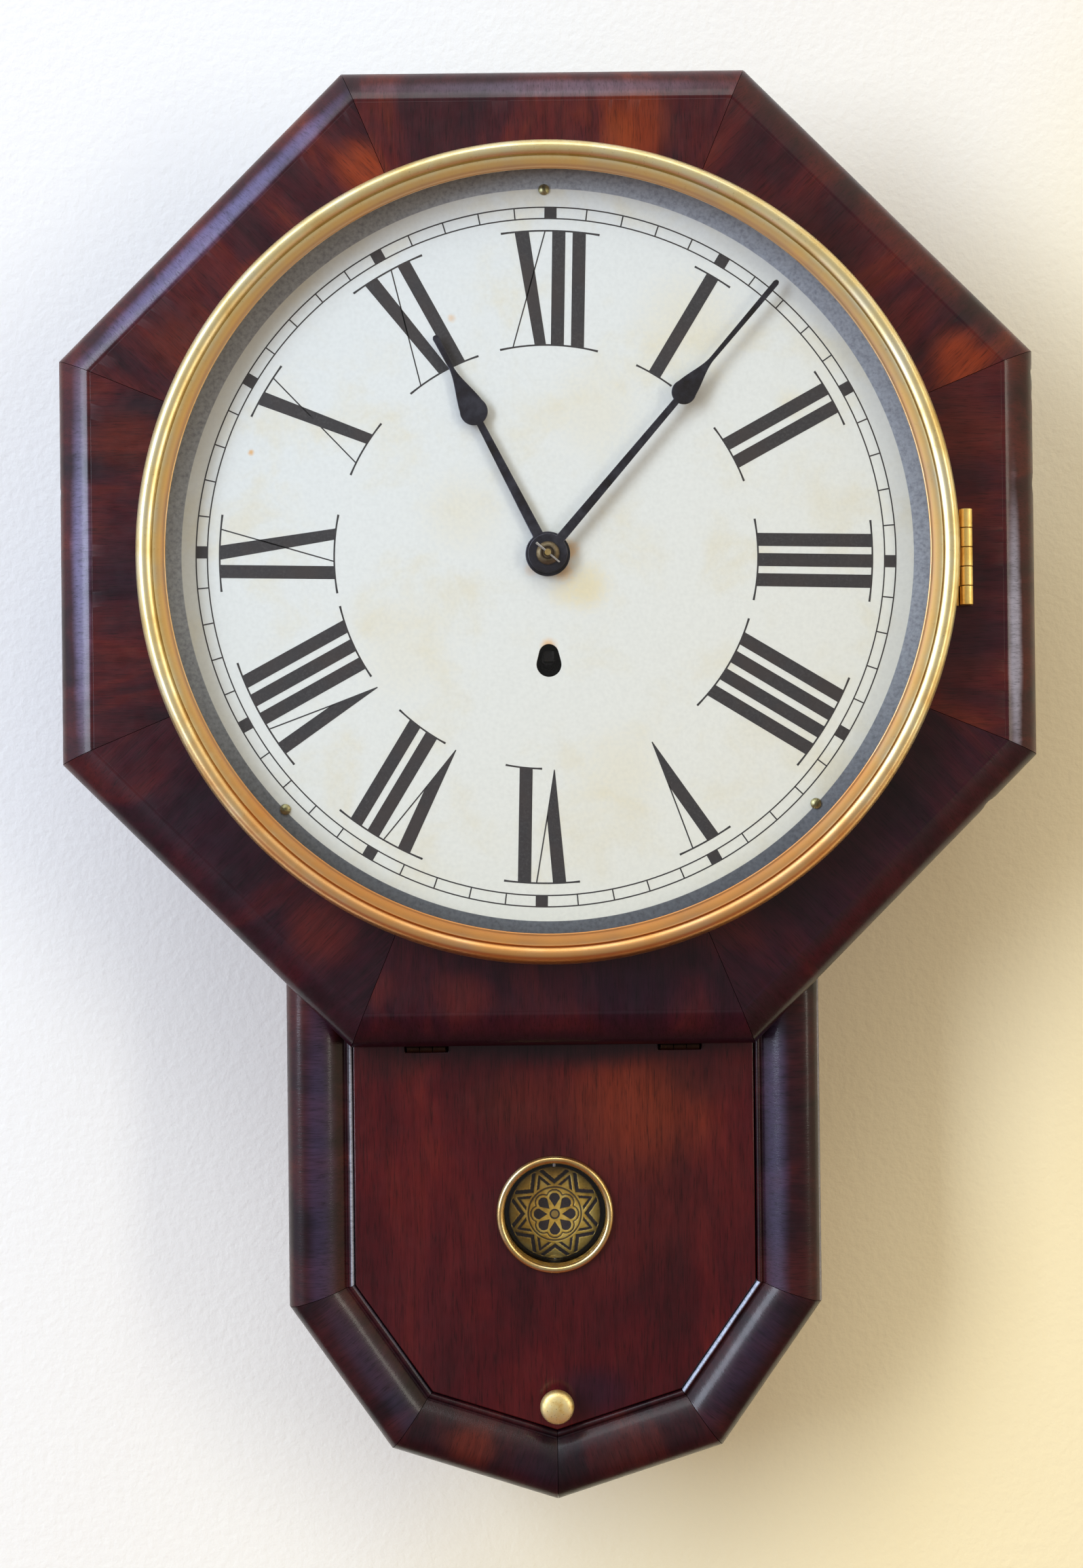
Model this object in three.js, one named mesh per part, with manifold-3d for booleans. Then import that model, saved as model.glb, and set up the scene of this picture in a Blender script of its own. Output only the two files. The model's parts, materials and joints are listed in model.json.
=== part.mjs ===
// A drop octagon wall clock: veneered head, drop with a glazed door, brass bezel and an eight-day movement.
// Millimetres, +Z up. The wall is the plane y = 0, the front faces -Y and the origin is where the hook bears.
// Every piece is drawn in the dial's frame: x right, y up, z out of the wall, and the hands' axis at 0, 0.
import * as THREE from "three";
import { mergeVertices } from "three/addons/utils/BufferGeometryUtils.js";
import Module from "manifold-3d";

const wasm = await Module();
wasm.setup();

const seat = 0.3; // between two pieces that rest on each other
const mitreGap = 0.3; // between two lengths of wood at a mitre
const running = 0.3; // round an arbor, pin or pipe in its hole
const smooth = 48; // sides of the large rings
const fine = 24; // sides of the small turned pieces

// The case: how far each layer stands from the wall
const backboardThickness = 9;
const headBoxFront = 72;
const dropBoxFront = 66;
const headFront = 96.5; // the flat veneered front
const doorBack = 70.3;
const doorThickness = 7.2;

// Bezel
const bezelRadius = 169.8;
const bezelWidth = 13.3;
const bezelLip = bezelRadius - bezelWidth;
const bezelWall = 1.4;
const bezelGlassThickness = 2;
const bezelGlassSunk = 2.6; // below the bezel's front
const bezelHingeX = bezelRadius + 4;
const bezelHingeY = -3;
const bezelHingeLength = 40;
const bezelHingeRadius = 2.6;
const bezelHingeFlange = 2.8;

// Dial
const dialRadius = bezelLip + 4.5;
const dialThickness = 1.2;
const dialScrewCircle = bezelLip - 4.5;
const dialScrewAngles = [90, 223.5, 316.5];
const dialScrewHead = 2.25;

// Octagon head
const headBorder = 35.7; // from the bezel to the outer edge
const headFlats = 2 * (bezelRadius + headBorder); // across the flats
const headFoot = -headFlats / 2;
const headOpening = dialScrewCircle - 4; // radius of the hole behind the dial
const bullnoseWidth = 15;
const bullnoseRise = 0.8; // of its crest over the flat
const headEdge = 13.7; // straight part of the outer edge
const headOverhang = 40.5; // of the head over the box behind it
const headBoxFlats = headFlats - 2 * headOverhang;
const headBoxWall = 12;
const throatHeight = 105.5; // the head box is open to the drop, this far above the head's foot
const throatTop = headFoot + throatHeight;

// Hanger plate with its keyhole, let in flush at the back
const hookBelowTop = 15; // of the head box
const hookAboveDial = headBoxFlats / 2 - hookBelowTop;
const hanger = {
  width: 34,
  low: hookAboveDial - 26,
  high: hookAboveDial + 10,
  thickness: 1.5,
  mouth: 5,
  mouthDrop: 12,
  slot: 2.6,
};

// Drop
const dropHalfWidth = 114;
const dropLength = 195; // from the head's foot to the point
const dropSide = 111.5; // from the head's foot to where the sides turn in
const dropTurnHeight = 22.5; // of the lower corners over the point
const dropBehind = 85.5; // its sides run on behind the head
const dropTop = headFoot + dropBehind;
const dropSideFoot = headFoot - dropSide;
const dropPoint = headFoot - dropLength;
const dropTurn = { x: 71, y: dropPoint + dropTurnHeight };
const dropMoulding = 28;
const mouldingCrest = 16.7; // above the moulding's back
const rebateLip = 5; // the door closes on it
const dropBoard = 10;
const dropBoardInset = 8; // from the moulding's outer edge
const doorClearance = 0.7;
const doorBelowHead = 3.5;
const doorTop = headFoot - doorBelowHead;

// Door window, knob and hinges
const windowDrop = 73; // below the head's foot
const windowY = headFoot - windowDrop;
const windowHole = 22.6;
const windowOpening = 21.75;
const windowRingRadius = 25;
const windowGlassThickness = 2;
const knobHeight = 42.1; // over the point
const knobY = dropPoint + knobHeight;
const knobRadius = 7.2;
const spindleRadius = 1.6;
const tongueLength = 11;
const doorHingeX = 54;
const doorHingeLength = 16.6;
const doorHingeRadius = 1.5;
const doorHingeY = doorTop + 1.7;

// Hands
const handThickness = 0.8;
const dialFront = headFront + seat + dialThickness;
const hourHandClearance = 2.8; // over the dial
const handGap = 1.6; // between the hands
const glassClearance = 1.7; // between the hands' arbor and the glass
const hourHandDepth = dialFront + hourHandClearance;
const minuteHandDepth = hourHandDepth + handThickness + handGap;
const hourHand = {
  length: 102,
  bulb: 66.6, // from the axis to the middle of the bulb
  bulbWidth: 11.6,
  root: 4.6,
  stem: 3,
  neck: 2,
  tip: 2.8,
  boss: 9.3,
};
const minuteHand = {
  length: 147.6,
  bulb: 87.2,
  bulbWidth: 10.2,
  root: 4,
  stem: 2.8,
  neck: 1.9,
  tip: 2.4,
  boss: 8.2,
};
const hoursShown = 11 + 6.4 / 60;
const taperPinLength = 12.5;
const taperPinAngle = -40.5;

// Movement: the train runs 12 x 10 x 9 from the barrel to the escape wheel
const backPlateDepth = 18;
const frontPlateDepth = 46;
const plateThickness = 1.6;
const plate = { halfWidth: 46, top: 69, bottom: -88, corner: 6 };
const pillar = { x: 40, top: 60, bottom: -80, radius: 3.4 };
const leaves = 6; // of each train pinion
const greatTeeth = 72;
const centreTeeth = 60;
const thirdTeeth = 54;
const escapeTeeth = 35;
const barrelDrop = 42; // winding arbor below the hands
const windingHole = { low: -barrelDrop - 3.6, lowRadius: 5.2, high: -barrelDrop + 0.8, highRadius: 4.1 };
const centreModule = 0.68;
const thirdModule = 0.66;
const escapeRise = 38; // escape arbor above the hands
const escapeRadius = 14;
const anchorRise = 57; // pallet arbor and pendulum above the hands
const cannonTeeth = 12;
const minuteTeeth = 36;
const minutePinionTeeth = 10;
const hourTeeth = 40;
const minuteWheelX = 12;
const barrelRadius = 35;
const windingArborRadius = 3;
const windingSquare = 4.2;
const windingArborEnd = 95;
const centreArborRadius = 1.45;
const pipeWall = 0.6;
const ratchet = { teeth: 20, tip: 10, root: 8.4 };

// Pendulum
const pendulumDepth = 57;
const bobBelowWindow = 3.5;
const bobY = windowY - bobBelowWindow;
const bobRadius = 20;
const bobThickness = 9;
const rodRadius = 1;
const rodBow = { top: 25, foot: -74, out: -11 }; // the rod passes the arbors to one side

const degrees = Math.PI / 180;
const finish = (name, color, roughness, metalness = 0) =>
  new THREE.MeshStandardMaterial({ name, color, roughness, metalness });
const brass = finish("aged_brass", 0xb8924a, 0.35, 1);
const movementBrass = finish("movement_brass", 0xb39455, 0.45, 1);
const steel = finish("polished_steel", 0x8d9094, 0.3, 1);
const bluedSteel = finish("blued_steel", 0x23222b, 0.4, 1);
const veneer = finish("mahogany_veneer", 0x4a1712, 0.35);
const pine = finish("stained_pine", 0x5d3a22, 0.8);
const paint = finish("painted_zinc", 0xe9e2cf, 0.6);
const glass = new THREE.MeshStandardMaterial({
  name: "glass",
  color: 0xf2f6f4,
  roughness: 0.05,
  transparent: true,
  opacity: 0.15,
});

// Solids

function solidOf(geometry) {
  const bare = geometry.clone();
  bare.deleteAttribute("normal");
  bare.deleteAttribute("uv");
  const merged = mergeVertices(bare, 1e-4);
  const corners = merged.index.array;
  const faces = [];
  for (let i = 0; i < corners.length; i += 3) {
    const [a, b, c] = corners.subarray(i, i + 3);
    if (a !== b && b !== c && c !== a) faces.push(a, b, c);
  }
  const vertProperties = merged.attributes.position.array;
  const triVerts = new Uint32Array(faces);
  return new wasm.Manifold(new wasm.Mesh({ numProp: 3, vertProperties, triVerts }));
}

function geometryOf(solid) {
  const { vertProperties, triVerts } = solid.getMesh();
  const geometry = new THREE.BufferGeometry();
  geometry.setAttribute("position", new THREE.BufferAttribute(vertProperties, 3));
  geometry.setIndex(new THREE.BufferAttribute(triVerts, 1));
  geometry.computeVertexNormals();
  return geometry;
}

const join = (...solids) => solids.reduce((whole, piece) => whole.add(piece));
const cut = (solid, ...tools) => tools.reduce((rest, tool) => rest.subtract(tool), solid);
const polar = (radius, angle) => new THREE.Vector2(radius * Math.cos(angle), radius * Math.sin(angle));
const points = (list) => list.map(([x, y]) => new THREE.Vector2(x, y));

function circle(radius, sides = fine, x = 0, y = 0) {
  const centre = new THREE.Vector2(x, y);
  return Array.from({ length: sides }, (_, i) => polar(radius, (i / sides) * 2 * Math.PI).add(centre));
}

// A flat outline with its holes, as thick as the step from one depth to the other.
function prism(outline, from, to, holes = []) {
  const shape = new THREE.Shape(THREE.ShapeUtils.isClockWise(outline) ? outline.toReversed() : outline);
  shape.holes = holes.map((hole) => new THREE.Path(hole));
  const geometry = new THREE.ExtrudeGeometry(shape, { depth: to - from, bevelEnabled: false });
  return solidOf(geometry.translate(0, 0, from));
}

const rod = (radius, from, to, sides = fine, x = 0, y = 0) => prism(circle(radius, sides, x, y), from, to);

function block(x0, x1, y0, y1, z0, z1) {
  return prism(points([[x0, y0], [x1, y0], [x1, y1], [x0, y1]]), z0, z1);
}

// A profile of [radius, depth], counter-clockwise, turned about the z axis.
function turned(profile, sides = fine) {
  const line = points(profile);
  if (profile[0][0] > 0 || profile.at(-1)[0] > 0) line.push(line[0].clone());
  return solidOf(new THREE.LatheGeometry(line, sides).rotateX(Math.PI / 2));
}

// For each corner of an outline that runs clockwise, how a point there moves per millimetre inwards.
function mitres(corners, closed) {
  const inward = corners.map((corner, i) => {
    const along = corners[(i + 1) % corners.length].clone().sub(corner).normalize();
    return new THREE.Vector2(along.y, -along.x);
  });
  const last = corners.length - 1;
  return corners.map((corner, i) => {
    if (!closed && i === 0) return { corner, mitre: inward[0] };
    if (!closed && i === last) return { corner, mitre: inward[last - 1] };
    const before = inward[(i + last) % corners.length];
    const sum = before.clone().add(inward[i]);
    return { corner, mitre: sum.divideScalar(1 + before.dot(inward[i])) };
  });
}

const inset = (stations, inwards) =>
  stations.map(({ corner, mitre }) => corner.clone().addScaledVector(mitre, inwards));

// A moulding or board through its stations. The profile's points are [inwards, depth], counter-clockwise,
// and each end stands back by half a mitre gap.
function mitredRun(stations, profile) {
  const ends = stations.map(({ corner }) => corner.clone());
  const pull = (from, to) => to.clone().sub(from).setLength(mitreGap / 2);
  ends[0].add(pull(stations[0].corner, stations[1].corner));
  ends.at(-1).add(pull(stations.at(-1).corner, stations.at(-2).corner));
  const position = stations.flatMap(({ mitre }, s) =>
    profile.flatMap(([inwards, depth]) => {
      const { x, y } = ends[s].clone().addScaledVector(mitre, inwards);
      return [x, y, depth];
    }),
  );
  const count = profile.length;
  const index = [];
  for (let s = 0; s + 1 < stations.length; s++) {
    for (let i = 0; i < count; i++) {
      const a = s * count + i;
      const b = s * count + ((i + 1) % count);
      index.push(a, a + count, b + count, a, b + count, b);
    }
  }
  const far = (stations.length - 1) * count;
  for (const [a, b, c] of THREE.ShapeUtils.triangulateShape(points(profile), [])) {
    index.push(a, b, c, far + a, far + c, far + b);
  }
  const geometry = new THREE.BufferGeometry();
  geometry.setAttribute("position", new THREE.Float32BufferAttribute(position, 3));
  geometry.setIndex(index);
  return solidOf(geometry);
}

// Points of a smooth line from [x, y] through bends, each given as its control point and its end.
function curved(start, bends, divisions) {
  const path = new THREE.Path().moveTo(...start);
  for (const [control, end] of bends) path.quadraticCurveTo(...control, ...end);
  return path.getPoints(divisions).map(({ x, y }) => [x, y]);
}

const clock = new THREE.Group();
clock.rotation.x = Math.PI / 2;
clock.position.z = -hookAboveDial;

function add(name, solid, material, x = 0, y = 0, z = 0) {
  const mesh = new THREE.Mesh(geometryOf(solid), material);
  mesh.name = name;
  mesh.position.set(x, y, z);
  clock.add(mesh);
  return mesh;
}

// Octagon head

function octagon(flats) {
  const radius = flats / 2 / Math.cos(Math.PI / 8);
  return Array.from({ length: 8 }, (_, i) => polar(radius, (112.5 - 45 * i) * degrees));
}

const screwPoints = dialScrewAngles.map((angle) => polar(dialScrewCircle, angle * degrees));
const screwShank = 1.2;
const screwDepth = 11;

function addHead() {
  const back = headBoxFront + seat;
  const crest = headFront + bullnoseRise;
  const width = headFlats / 2 - headOpening / Math.cos(Math.PI / 8) + 10;
  const shoulder = back + headEdge;
  const bullnose = curved(
    [0, shoulder],
    [
      [[0.4, crest], [bullnoseWidth / 2, crest]],
      [[bullnoseWidth - 1.5, crest], [bullnoseWidth, headFront - 1.8]],
    ],
    5,
  );
  const front = [...bullnose, [bullnoseWidth + 0.7, headFront], [width, headFront], [width, back]];
  const profile = [[0, back], ...front.toReversed()];
  const stations = mitres(octagon(headFlats), true);
  const opening = rod(headOpening, back - 1, crest + 1, smooth);
  const bored = headFront - screwDepth - 1;
  const holes = screwPoints.map(({ x, y }) => rod(screwShank + running, bored, crest, 12, x, y));
  const names = ["top", "top_right", "right", "bottom_right", "bottom", "bottom_left", "left", "top_left"];
  names.forEach((name, i) => {
    const length = mitredRun([stations[i], stations[(i + 1) % 8]], profile);
    add("head_segment_" + name, cut(length, opening, ...holes), veneer);
  });
}

const dropOutline = [
  new THREE.Vector2(dropHalfWidth, dropTop),
  new THREE.Vector2(dropHalfWidth, dropSideFoot),
  new THREE.Vector2(dropTurn.x, dropTurn.y),
  new THREE.Vector2(0, dropPoint),
  new THREE.Vector2(-dropTurn.x, dropTurn.y),
  new THREE.Vector2(-dropHalfWidth, dropSideFoot),
  new THREE.Vector2(-dropHalfWidth, dropTop),
];
const dropStations = mitres(dropOutline, false);
const dropInside = dropHalfWidth - dropBoardInset - dropBoard;

function addCaseBack() {
  const outer = octagon(headBoxFlats);
  const inner = octagon(headBoxFlats - 2 * headBoxWall);
  const front = backboardThickness + seat;
  const ring = prism(outer, front, headBoxFront, [inner]);
  const throat = block(-dropInside + seat, dropInside - seat, -headBoxFlats, throatTop, 0, headBoxFront + 1);
  add("head_box", cut(ring, throat), pine);

  const drop = prism(inset(dropStations, dropBoardInset), 0, backboardThickness);
  const { width, low, high, thickness, mouth } = hanger;
  const side = width / 2 + seat;
  const plateRecess = block(-side, side, low - seat, high + seat, -1, thickness + seat);
  const screwRoom = block(-mouth - 2, mouth + 2, low + 6, high - 4, -1, backboardThickness - 2);
  const board = join(prism(outer, 0, backboardThickness), drop);
  add("backboard", cut(board, plateRecess, screwRoom), pine);
}

function addHanger() {
  const { width, low, high, thickness, mouth, mouthDrop, slot } = hanger;
  const mouthY = hookAboveDial - mouthDrop;
  const keyhole = join(
    rod(mouth, -1, thickness + 1, 20, 0, mouthY),
    rod(slot, -1, thickness + 1, 16, 0, hookAboveDial),
    block(-slot, slot, mouthY, hookAboveDial, -1, thickness + 1),
  );
  const plate = block(-width / 2, width / 2, low, high, 0, thickness);
  add("hanger_plate", cut(plate, keyhole), steel);
}

// Drop

function addDrop() {
  const back = dropBoxFront + seat;
  const lipFront = doorBack - seat;
  const bead = dropMoulding - 3.2;
  const cushion = curved(
    [0, back + 6.5],
    [
      [[0.6, back + mouldingCrest], [10.5, back + mouldingCrest]],
      [[19, back + mouldingCrest], [bead, back + 10.4]],
    ],
    5,
  );
  const profile = [
    [0, back],
    [dropMoulding + rebateLip, back],
    [dropMoulding + rebateLip, lipFront],
    [dropMoulding, lipFront],
    [dropMoulding, back + 10.6],
    [dropMoulding - 1.2, back + 11.6],
    [bead + 0.8, back + 11],
    ...cushion.toReversed(),
  ];
  // Scribed to the octagon's edge in front, and carried on behind it to the head box
  const headCut = prism(octagon(headFlats + 2 * seat), headBoxFront, headFront);
  const boxCut = prism(octagon(headBoxFlats + 2 * seat), 0, headFront);
  const names = ["right", "lower_right", "bottom_right", "bottom_left", "lower_left", "left"];
  names.forEach((name, i) => {
    const length = mitredRun(dropStations.slice(i, i + 2), profile);
    add("drop_moulding_" + name, cut(length, headCut, boxCut), veneer);
  });

  const boardBack = backboardThickness + seat;
  const board = [
    [dropBoardInset, boardBack],
    [dropBoardInset + dropBoard, boardBack],
    [dropBoardInset + dropBoard, dropBoxFront],
    [dropBoardInset, dropBoxFront],
  ];
  add("drop_side_right", cut(mitredRun(dropStations.slice(0, 2), board), boxCut), pine);
  add("drop_side_left", cut(mitredRun(dropStations.slice(5), board), boxCut), pine);
  add("drop_bottom_board", mitredRun(dropStations.slice(1, 6), board), pine);
}

// A leaf of a butt hinge along z: its own knuckles, and a plate that stands clear of the other leaf's.
function hingeLeaf(radius, stretches, plateBox, pin) {
  const [x0, x1, y0, y1] = plateBox;
  const pinRadius = radius * 0.4;
  const ends = stretches.flat();
  const clear = Math.abs(x0) > radius + running ? Math.sign(x0) * (radius + running) : 0;
  const strip = (a, b, from, to) => block(Math.min(a, b), Math.max(a, b), y0, y1, from, to);
  const pieces = stretches.map(([from, to]) => join(rod(radius, from, to, 12), strip(x0, x1, from, to)));
  if (clear) pieces.push(strip(x0, clear, pin.low, pin.high));
  const leaf = join(...pieces);
  if (pin.fixed) return join(leaf, rod(pinRadius, pin.low, pin.high, 8));
  return cut(leaf, rod(pinRadius + running, Math.min(...ends) - 1, Math.max(...ends) + 1, 8));
}

// Knuckles of a hinge, in turn for one leaf and for the other
function knuckles(length, count) {
  const each = length / count;
  const all = Array.from({ length: count }, (_, i) => [
    -length / 2 + i * each + (i ? running / 2 : 0),
    -length / 2 + (i + 1) * each - (i + 1 < count ? running / 2 : 0),
  ]);
  return [all.filter((_, i) => i % 2 === 0), all.filter((_, i) => i % 2 === 1)];
}

function addDoor() {
  const front = doorBack + doorThickness;
  const edge = inset(dropStations, dropMoulding + doorClearance);
  const outline = [
    new THREE.Vector2(edge[0].x, doorTop),
    ...edge.slice(1, -1),
    new THREE.Vector2(edge.at(-1).x, doorTop),
  ];
  const panel = prism(outline, doorBack, front, [
    circle(windowHole, 32, 0, windowY),
    circle(spindleRadius + running, 12, 0, knobY),
  ]);
  const glassRadius = windowHole + 1.5;
  const rebateDepth = windowGlassThickness + 2 * seat + 0.4;
  const rebate = rod(glassRadius + seat, doorBack - 1, doorBack + rebateDepth, 32, 0, windowY);
  add("door", cut(panel, rebate), veneer);

  const glassBack = doorBack + rebateDepth - seat - windowGlassThickness;
  add("window_glass", rod(glassRadius, glassBack, glassBack + windowGlassThickness, 32), glass, 0, windowY);
  const spigot = windowHole - seat;
  const ring = curved(
    [windowRingRadius, front + seat],
    [
      [[windowRingRadius, front + 2.8], [windowRingRadius - 1.7, front + 2.8]],
      [[windowOpening, front + 2.6], [windowOpening, front + 0.6]],
    ],
    2,
  );
  const spigotBack = doorBack + rebateDepth + seat;
  ring.push([windowOpening, spigotBack], [spigot, spigotBack], [spigot, front + seat]);
  add("window_ring", turned(ring, 32), brass, 0, windowY);

  const knobBack = front + seat;
  const spindleEnd = dropBoxFront - seat - 4;
  const knob = [
    [0, spindleEnd],
    [spindleRadius + 1, spindleEnd],
    [spindleRadius + 1, spindleEnd + 0.8],
    [spindleRadius, spindleEnd + 0.8],
    [spindleRadius, knobBack],
    [4.2, knobBack],
    [4.2, knobBack + 0.9],
    [2.9, knobBack + 1.6],
    [3.1, knobBack + 3.2],
    [knobRadius - 1.2, knobBack + 4.4],
    [knobRadius, knobBack + 6.2],
    [knobRadius - 0.5, knobBack + 8],
    [knobRadius - 2.3, knobBack + 9.4],
    [knobRadius - 4.8, knobBack + 10.1],
    [0, knobBack + 10.3],
  ];
  add("door_knob", turned(knob, 16), brass, 0, knobY);
  const tongueBack = spindleEnd + 0.8 + seat;
  const tongue = prism(tongueOutline(), tongueBack, tongueBack + 1.8, [circle(spindleRadius + running, 12)]);
  add("door_catch_tongue", tongue, brass, 0, knobY);

  const [outerStretches, middle] = knuckles(doorHingeLength, 3);
  const half = doorHingeLength / 2;
  const axisDepth = front + 1.1;
  for (const [side, x] of [["left", -doorHingeX], ["right", doorHingeX]]) {
    const pin = { low: -half, high: half };
    const casePlate = [4.6, 0, doorHingeRadius - 0.9, doorHingeRadius];
    const doorPlate = [8, 0, -doorHingeRadius, 0.9 - doorHingeRadius];
    const leafs = {
      case: hingeLeaf(doorHingeRadius, outerStretches, casePlate, { ...pin, fixed: true }),
      door: hingeLeaf(doorHingeRadius, middle, doorPlate, pin),
    };
    for (const [name, leaf] of Object.entries(leafs)) {
      const mesh = add("door_hinge_" + side + "_" + name + "_leaf", leaf, brass, x, doorHingeY, axisDepth);
      mesh.rotation.y = Math.PI / 2;
    }
  }
}

// The catch's tongue, out sideways of its spindle when the door is free
function tongueOutline() {
  const shape = new THREE.Shape();
  shape.moveTo(0, 3.4);
  shape.absarc(0, 0, 3.4, Math.PI / 2, (3 * Math.PI) / 2);
  shape.lineTo(tongueLength - 1.6, -2.2);
  shape.absarc(tongueLength - 1.6, -0.6, 1.6, -Math.PI / 2, 0);
  shape.lineTo(tongueLength, 1);
  return shape.getPoints(6);
}

// Bezel, spun from sheet: outer band, groove, inner band and lip, with the same skin inside

function addBezel() {
  const back = headFront + seat;
  const glassBack = arborEnd.depth + glassClearance;
  const glassFront = glassBack + bezelGlassThickness;
  const top = glassFront + seat + bezelGlassSunk;
  const outside = curved(
    [bezelRadius, back + 6],
    [[[bezelRadius - 0.4, top + 0.6], [bezelRadius - 6.2, top]]],
    4,
  );
  const inner = bezelLip + 2;
  const band = curved(
    [bezelRadius - 7.1, top - 0.3],
    [[[bezelRadius - 9.4, top + 0.9], [inner, top - 0.7]]],
    2,
  );
  const inside = curved(
    [bezelRadius - 6.4, top - 2.3],
    [[[bezelRadius - bezelWall - 0.5, top - 1.2], [bezelRadius - bezelWall, back + 6]]],
    2,
  );
  const profile = [
    [bezelRadius, back],
    ...outside,
    [bezelRadius - 6.6, top - 0.8],
    ...band,
    [bezelLip, top - 1.1],
    [bezelLip, top - bezelGlassSunk],
    [inner + 2, top - bezelGlassSunk + 0.1],
    ...inside,
    [bezelRadius - bezelWall, back],
  ];
  const half = bezelHingeLength / 2;
  const notchHalf = half + running;
  const leafNotch = block(
    bezelRadius - 4,
    bezelRadius + 2,
    bezelHingeY - notchHalf,
    bezelHingeY + notchHalf,
    back - 1,
    back + 1.5,
  );
  add("bezel_ring", cut(turned(profile, smooth), leafNotch), brass);

  const glassRadius = bezelRadius - 6.6;
  add("bezel_glass", rod(glassRadius, glassBack, glassFront, smooth), glass);
  const ringFront = glassBack - seat;
  const retainer = [
    [glassRadius + 1.6, ringFront - 0.9],
    [glassRadius + 1.6, ringFront],
    [bezelLip + 1.5, ringFront],
    [bezelLip + 1.5, ringFront - 0.9],
  ];
  add("glass_retaining_ring", turned(retainer, smooth), brass);

  const [caseStretches, bezelStretches] = knuckles(bezelHingeLength, 5);
  const pin = { low: -half, high: half };
  const plateY = [bezelHingeRadius - 1.2, bezelHingeRadius];
  const bezelPlate = [bezelRadius - bezelHingeX - 8, 0, ...plateY];
  const leafs = {
    case: hingeLeaf(bezelHingeRadius, caseStretches, [bezelHingeFlange, 0, ...plateY], { ...pin, fixed: true }),
    bezel: hingeLeaf(bezelHingeRadius, bezelStretches, bezelPlate, pin),
  };
  const axisDepth = back + bezelHingeRadius;
  for (const [name, leaf] of Object.entries(leafs)) {
    const mesh = add("bezel_hinge_" + name + "_leaf", leaf, brass, bezelHingeX, bezelHingeY, axisDepth);
    mesh.rotation.x = -Math.PI / 2;
  }

  // The spring's ends touch the flats of the wall first
  const springHalf = 5;
  const flats = (bezelRadius - bezelWall) * Math.cos(Math.PI / smooth) - seat;
  const wallInside = Math.sqrt(flats ** 2 - springHalf ** 2);
  const spring = join(
    block(-wallInside, 0.8 - wallInside, -springHalf, springHalf, back, back + 6),
    block(-wallInside, -dialRadius - 1, -springHalf, springHalf, back, back + 0.8),
  );
  add("bezel_catch_spring", spring, brass);
}

// Dial, its screws and the hands

// Round the lower circle and over the upper one, with their common tangents for sides
function windingHoleOutline() {
  const { low, lowRadius, high, highRadius } = windingHole;
  const lean = Math.asin((lowRadius - highRadius) / (high - low));
  const arc = (y, radius, from, to, steps) =>
    Array.from({ length: steps + 1 }, (_, i) => {
      const point = polar(radius, from + ((to - from) * i) / steps);
      return point.add(new THREE.Vector2(0, y));
    });
  const below = arc(low, lowRadius, Math.PI - lean, 2 * Math.PI + lean, 12);
  const above = arc(high, highRadius, lean, Math.PI - lean, 10);
  return [...below, ...above];
}

function handOutline({ length, bulb, bulbWidth, root, stem, neck, tip }) {
  const radius = bulbWidth / 2;
  const foot = bulb - Math.sqrt(radius ** 2 - (stem / 2) ** 2);
  const side = new THREE.Path().moveTo(root / 2, 0);
  side.lineTo(stem / 2, foot);
  side.absarc(0, bulb, radius, Math.asin((foot - bulb) / radius), 0.45);
  const shoulder = [radius * 0.72, bulb + bulbWidth * 0.75];
  const throat = [neck * 0.62, bulb + bulbWidth * 1.25];
  side.bezierCurveTo(...shoulder, ...throat, neck / 2, bulb + bulbWidth * 1.75);
  side.lineTo(tip / 2, length - 1);
  side.lineTo(tip / 5, length);
  const right = side.getPoints(6);
  return [...right, ...right.toReversed().map(({ x, y }) => new THREE.Vector2(-x, y))];
}

function addDial() {
  const centreHole = hourPipe.outer + 1;
  const holes = [
    circle(centreHole, 24),
    windingHoleOutline(),
    ...screwPoints.map(({ x, y }) => circle(screwShank + running, 12, x, y)),
  ];
  add("dial", prism(circle(dialRadius, smooth), headFront + seat, dialFront, holes), paint);
  const head = dialFront + seat;
  const screw = [
    [0, headFront - screwDepth],
    [screwShank, headFront - screwDepth + 1],
    [screwShank, head],
    [dialScrewHead, head],
    [dialScrewHead - 0.3, head + 0.7],
    [dialScrewHead - 1.2, head + 1.2],
    [0, head + 1.4],
  ];
  ["top", "lower_left", "lower_right"].forEach((name, i) => {
    add("dial_screw_" + name, turned(screw, 12), brass, screwPoints[i].x, screwPoints[i].y);
  });
}

function addHands() {
  const hand = (shape, depth, pipe) => {
    const front = depth + handThickness;
    const flat = join(prism(handOutline(shape), depth, front), rod(shape.boss, depth, front));
    return cut(flat, rod(pipe.outer + running, depth - 1, front + 1, 20));
  };
  const hour = add("hour_hand", hand(hourHand, hourHandDepth, hourPipe), bluedSteel);
  hour.rotation.z = -hoursShown * 30 * degrees;
  const minute = add("minute_hand", hand(minuteHand, minuteHandDepth, cannonPipe), bluedSteel);
  minute.rotation.z = -(hoursShown % 1) * 360 * degrees;

  const colletBack = minuteHandDepth + handThickness + seat;
  const collet = [
    [arborEnd.radius + running, colletBack],
    [4.85, colletBack],
    [4.85, colletBack + 0.5],
    [3.6, colletBack + 1.1],
    [arborEnd.radius + running, colletBack + 1.3],
  ];
  add("hand_collet", turned(collet, 12), brass);
  const pin = new THREE.CylinderGeometry(0.45, 0.6, taperPinLength, 10).rotateZ(Math.PI / 2);
  const mesh = add("hand_taper_pin", solidOf(pin), steel, 0, 0, arborEnd.pinDepth);
  mesh.rotation.z = taperPinAngle * degrees;
}

// Movement

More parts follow.
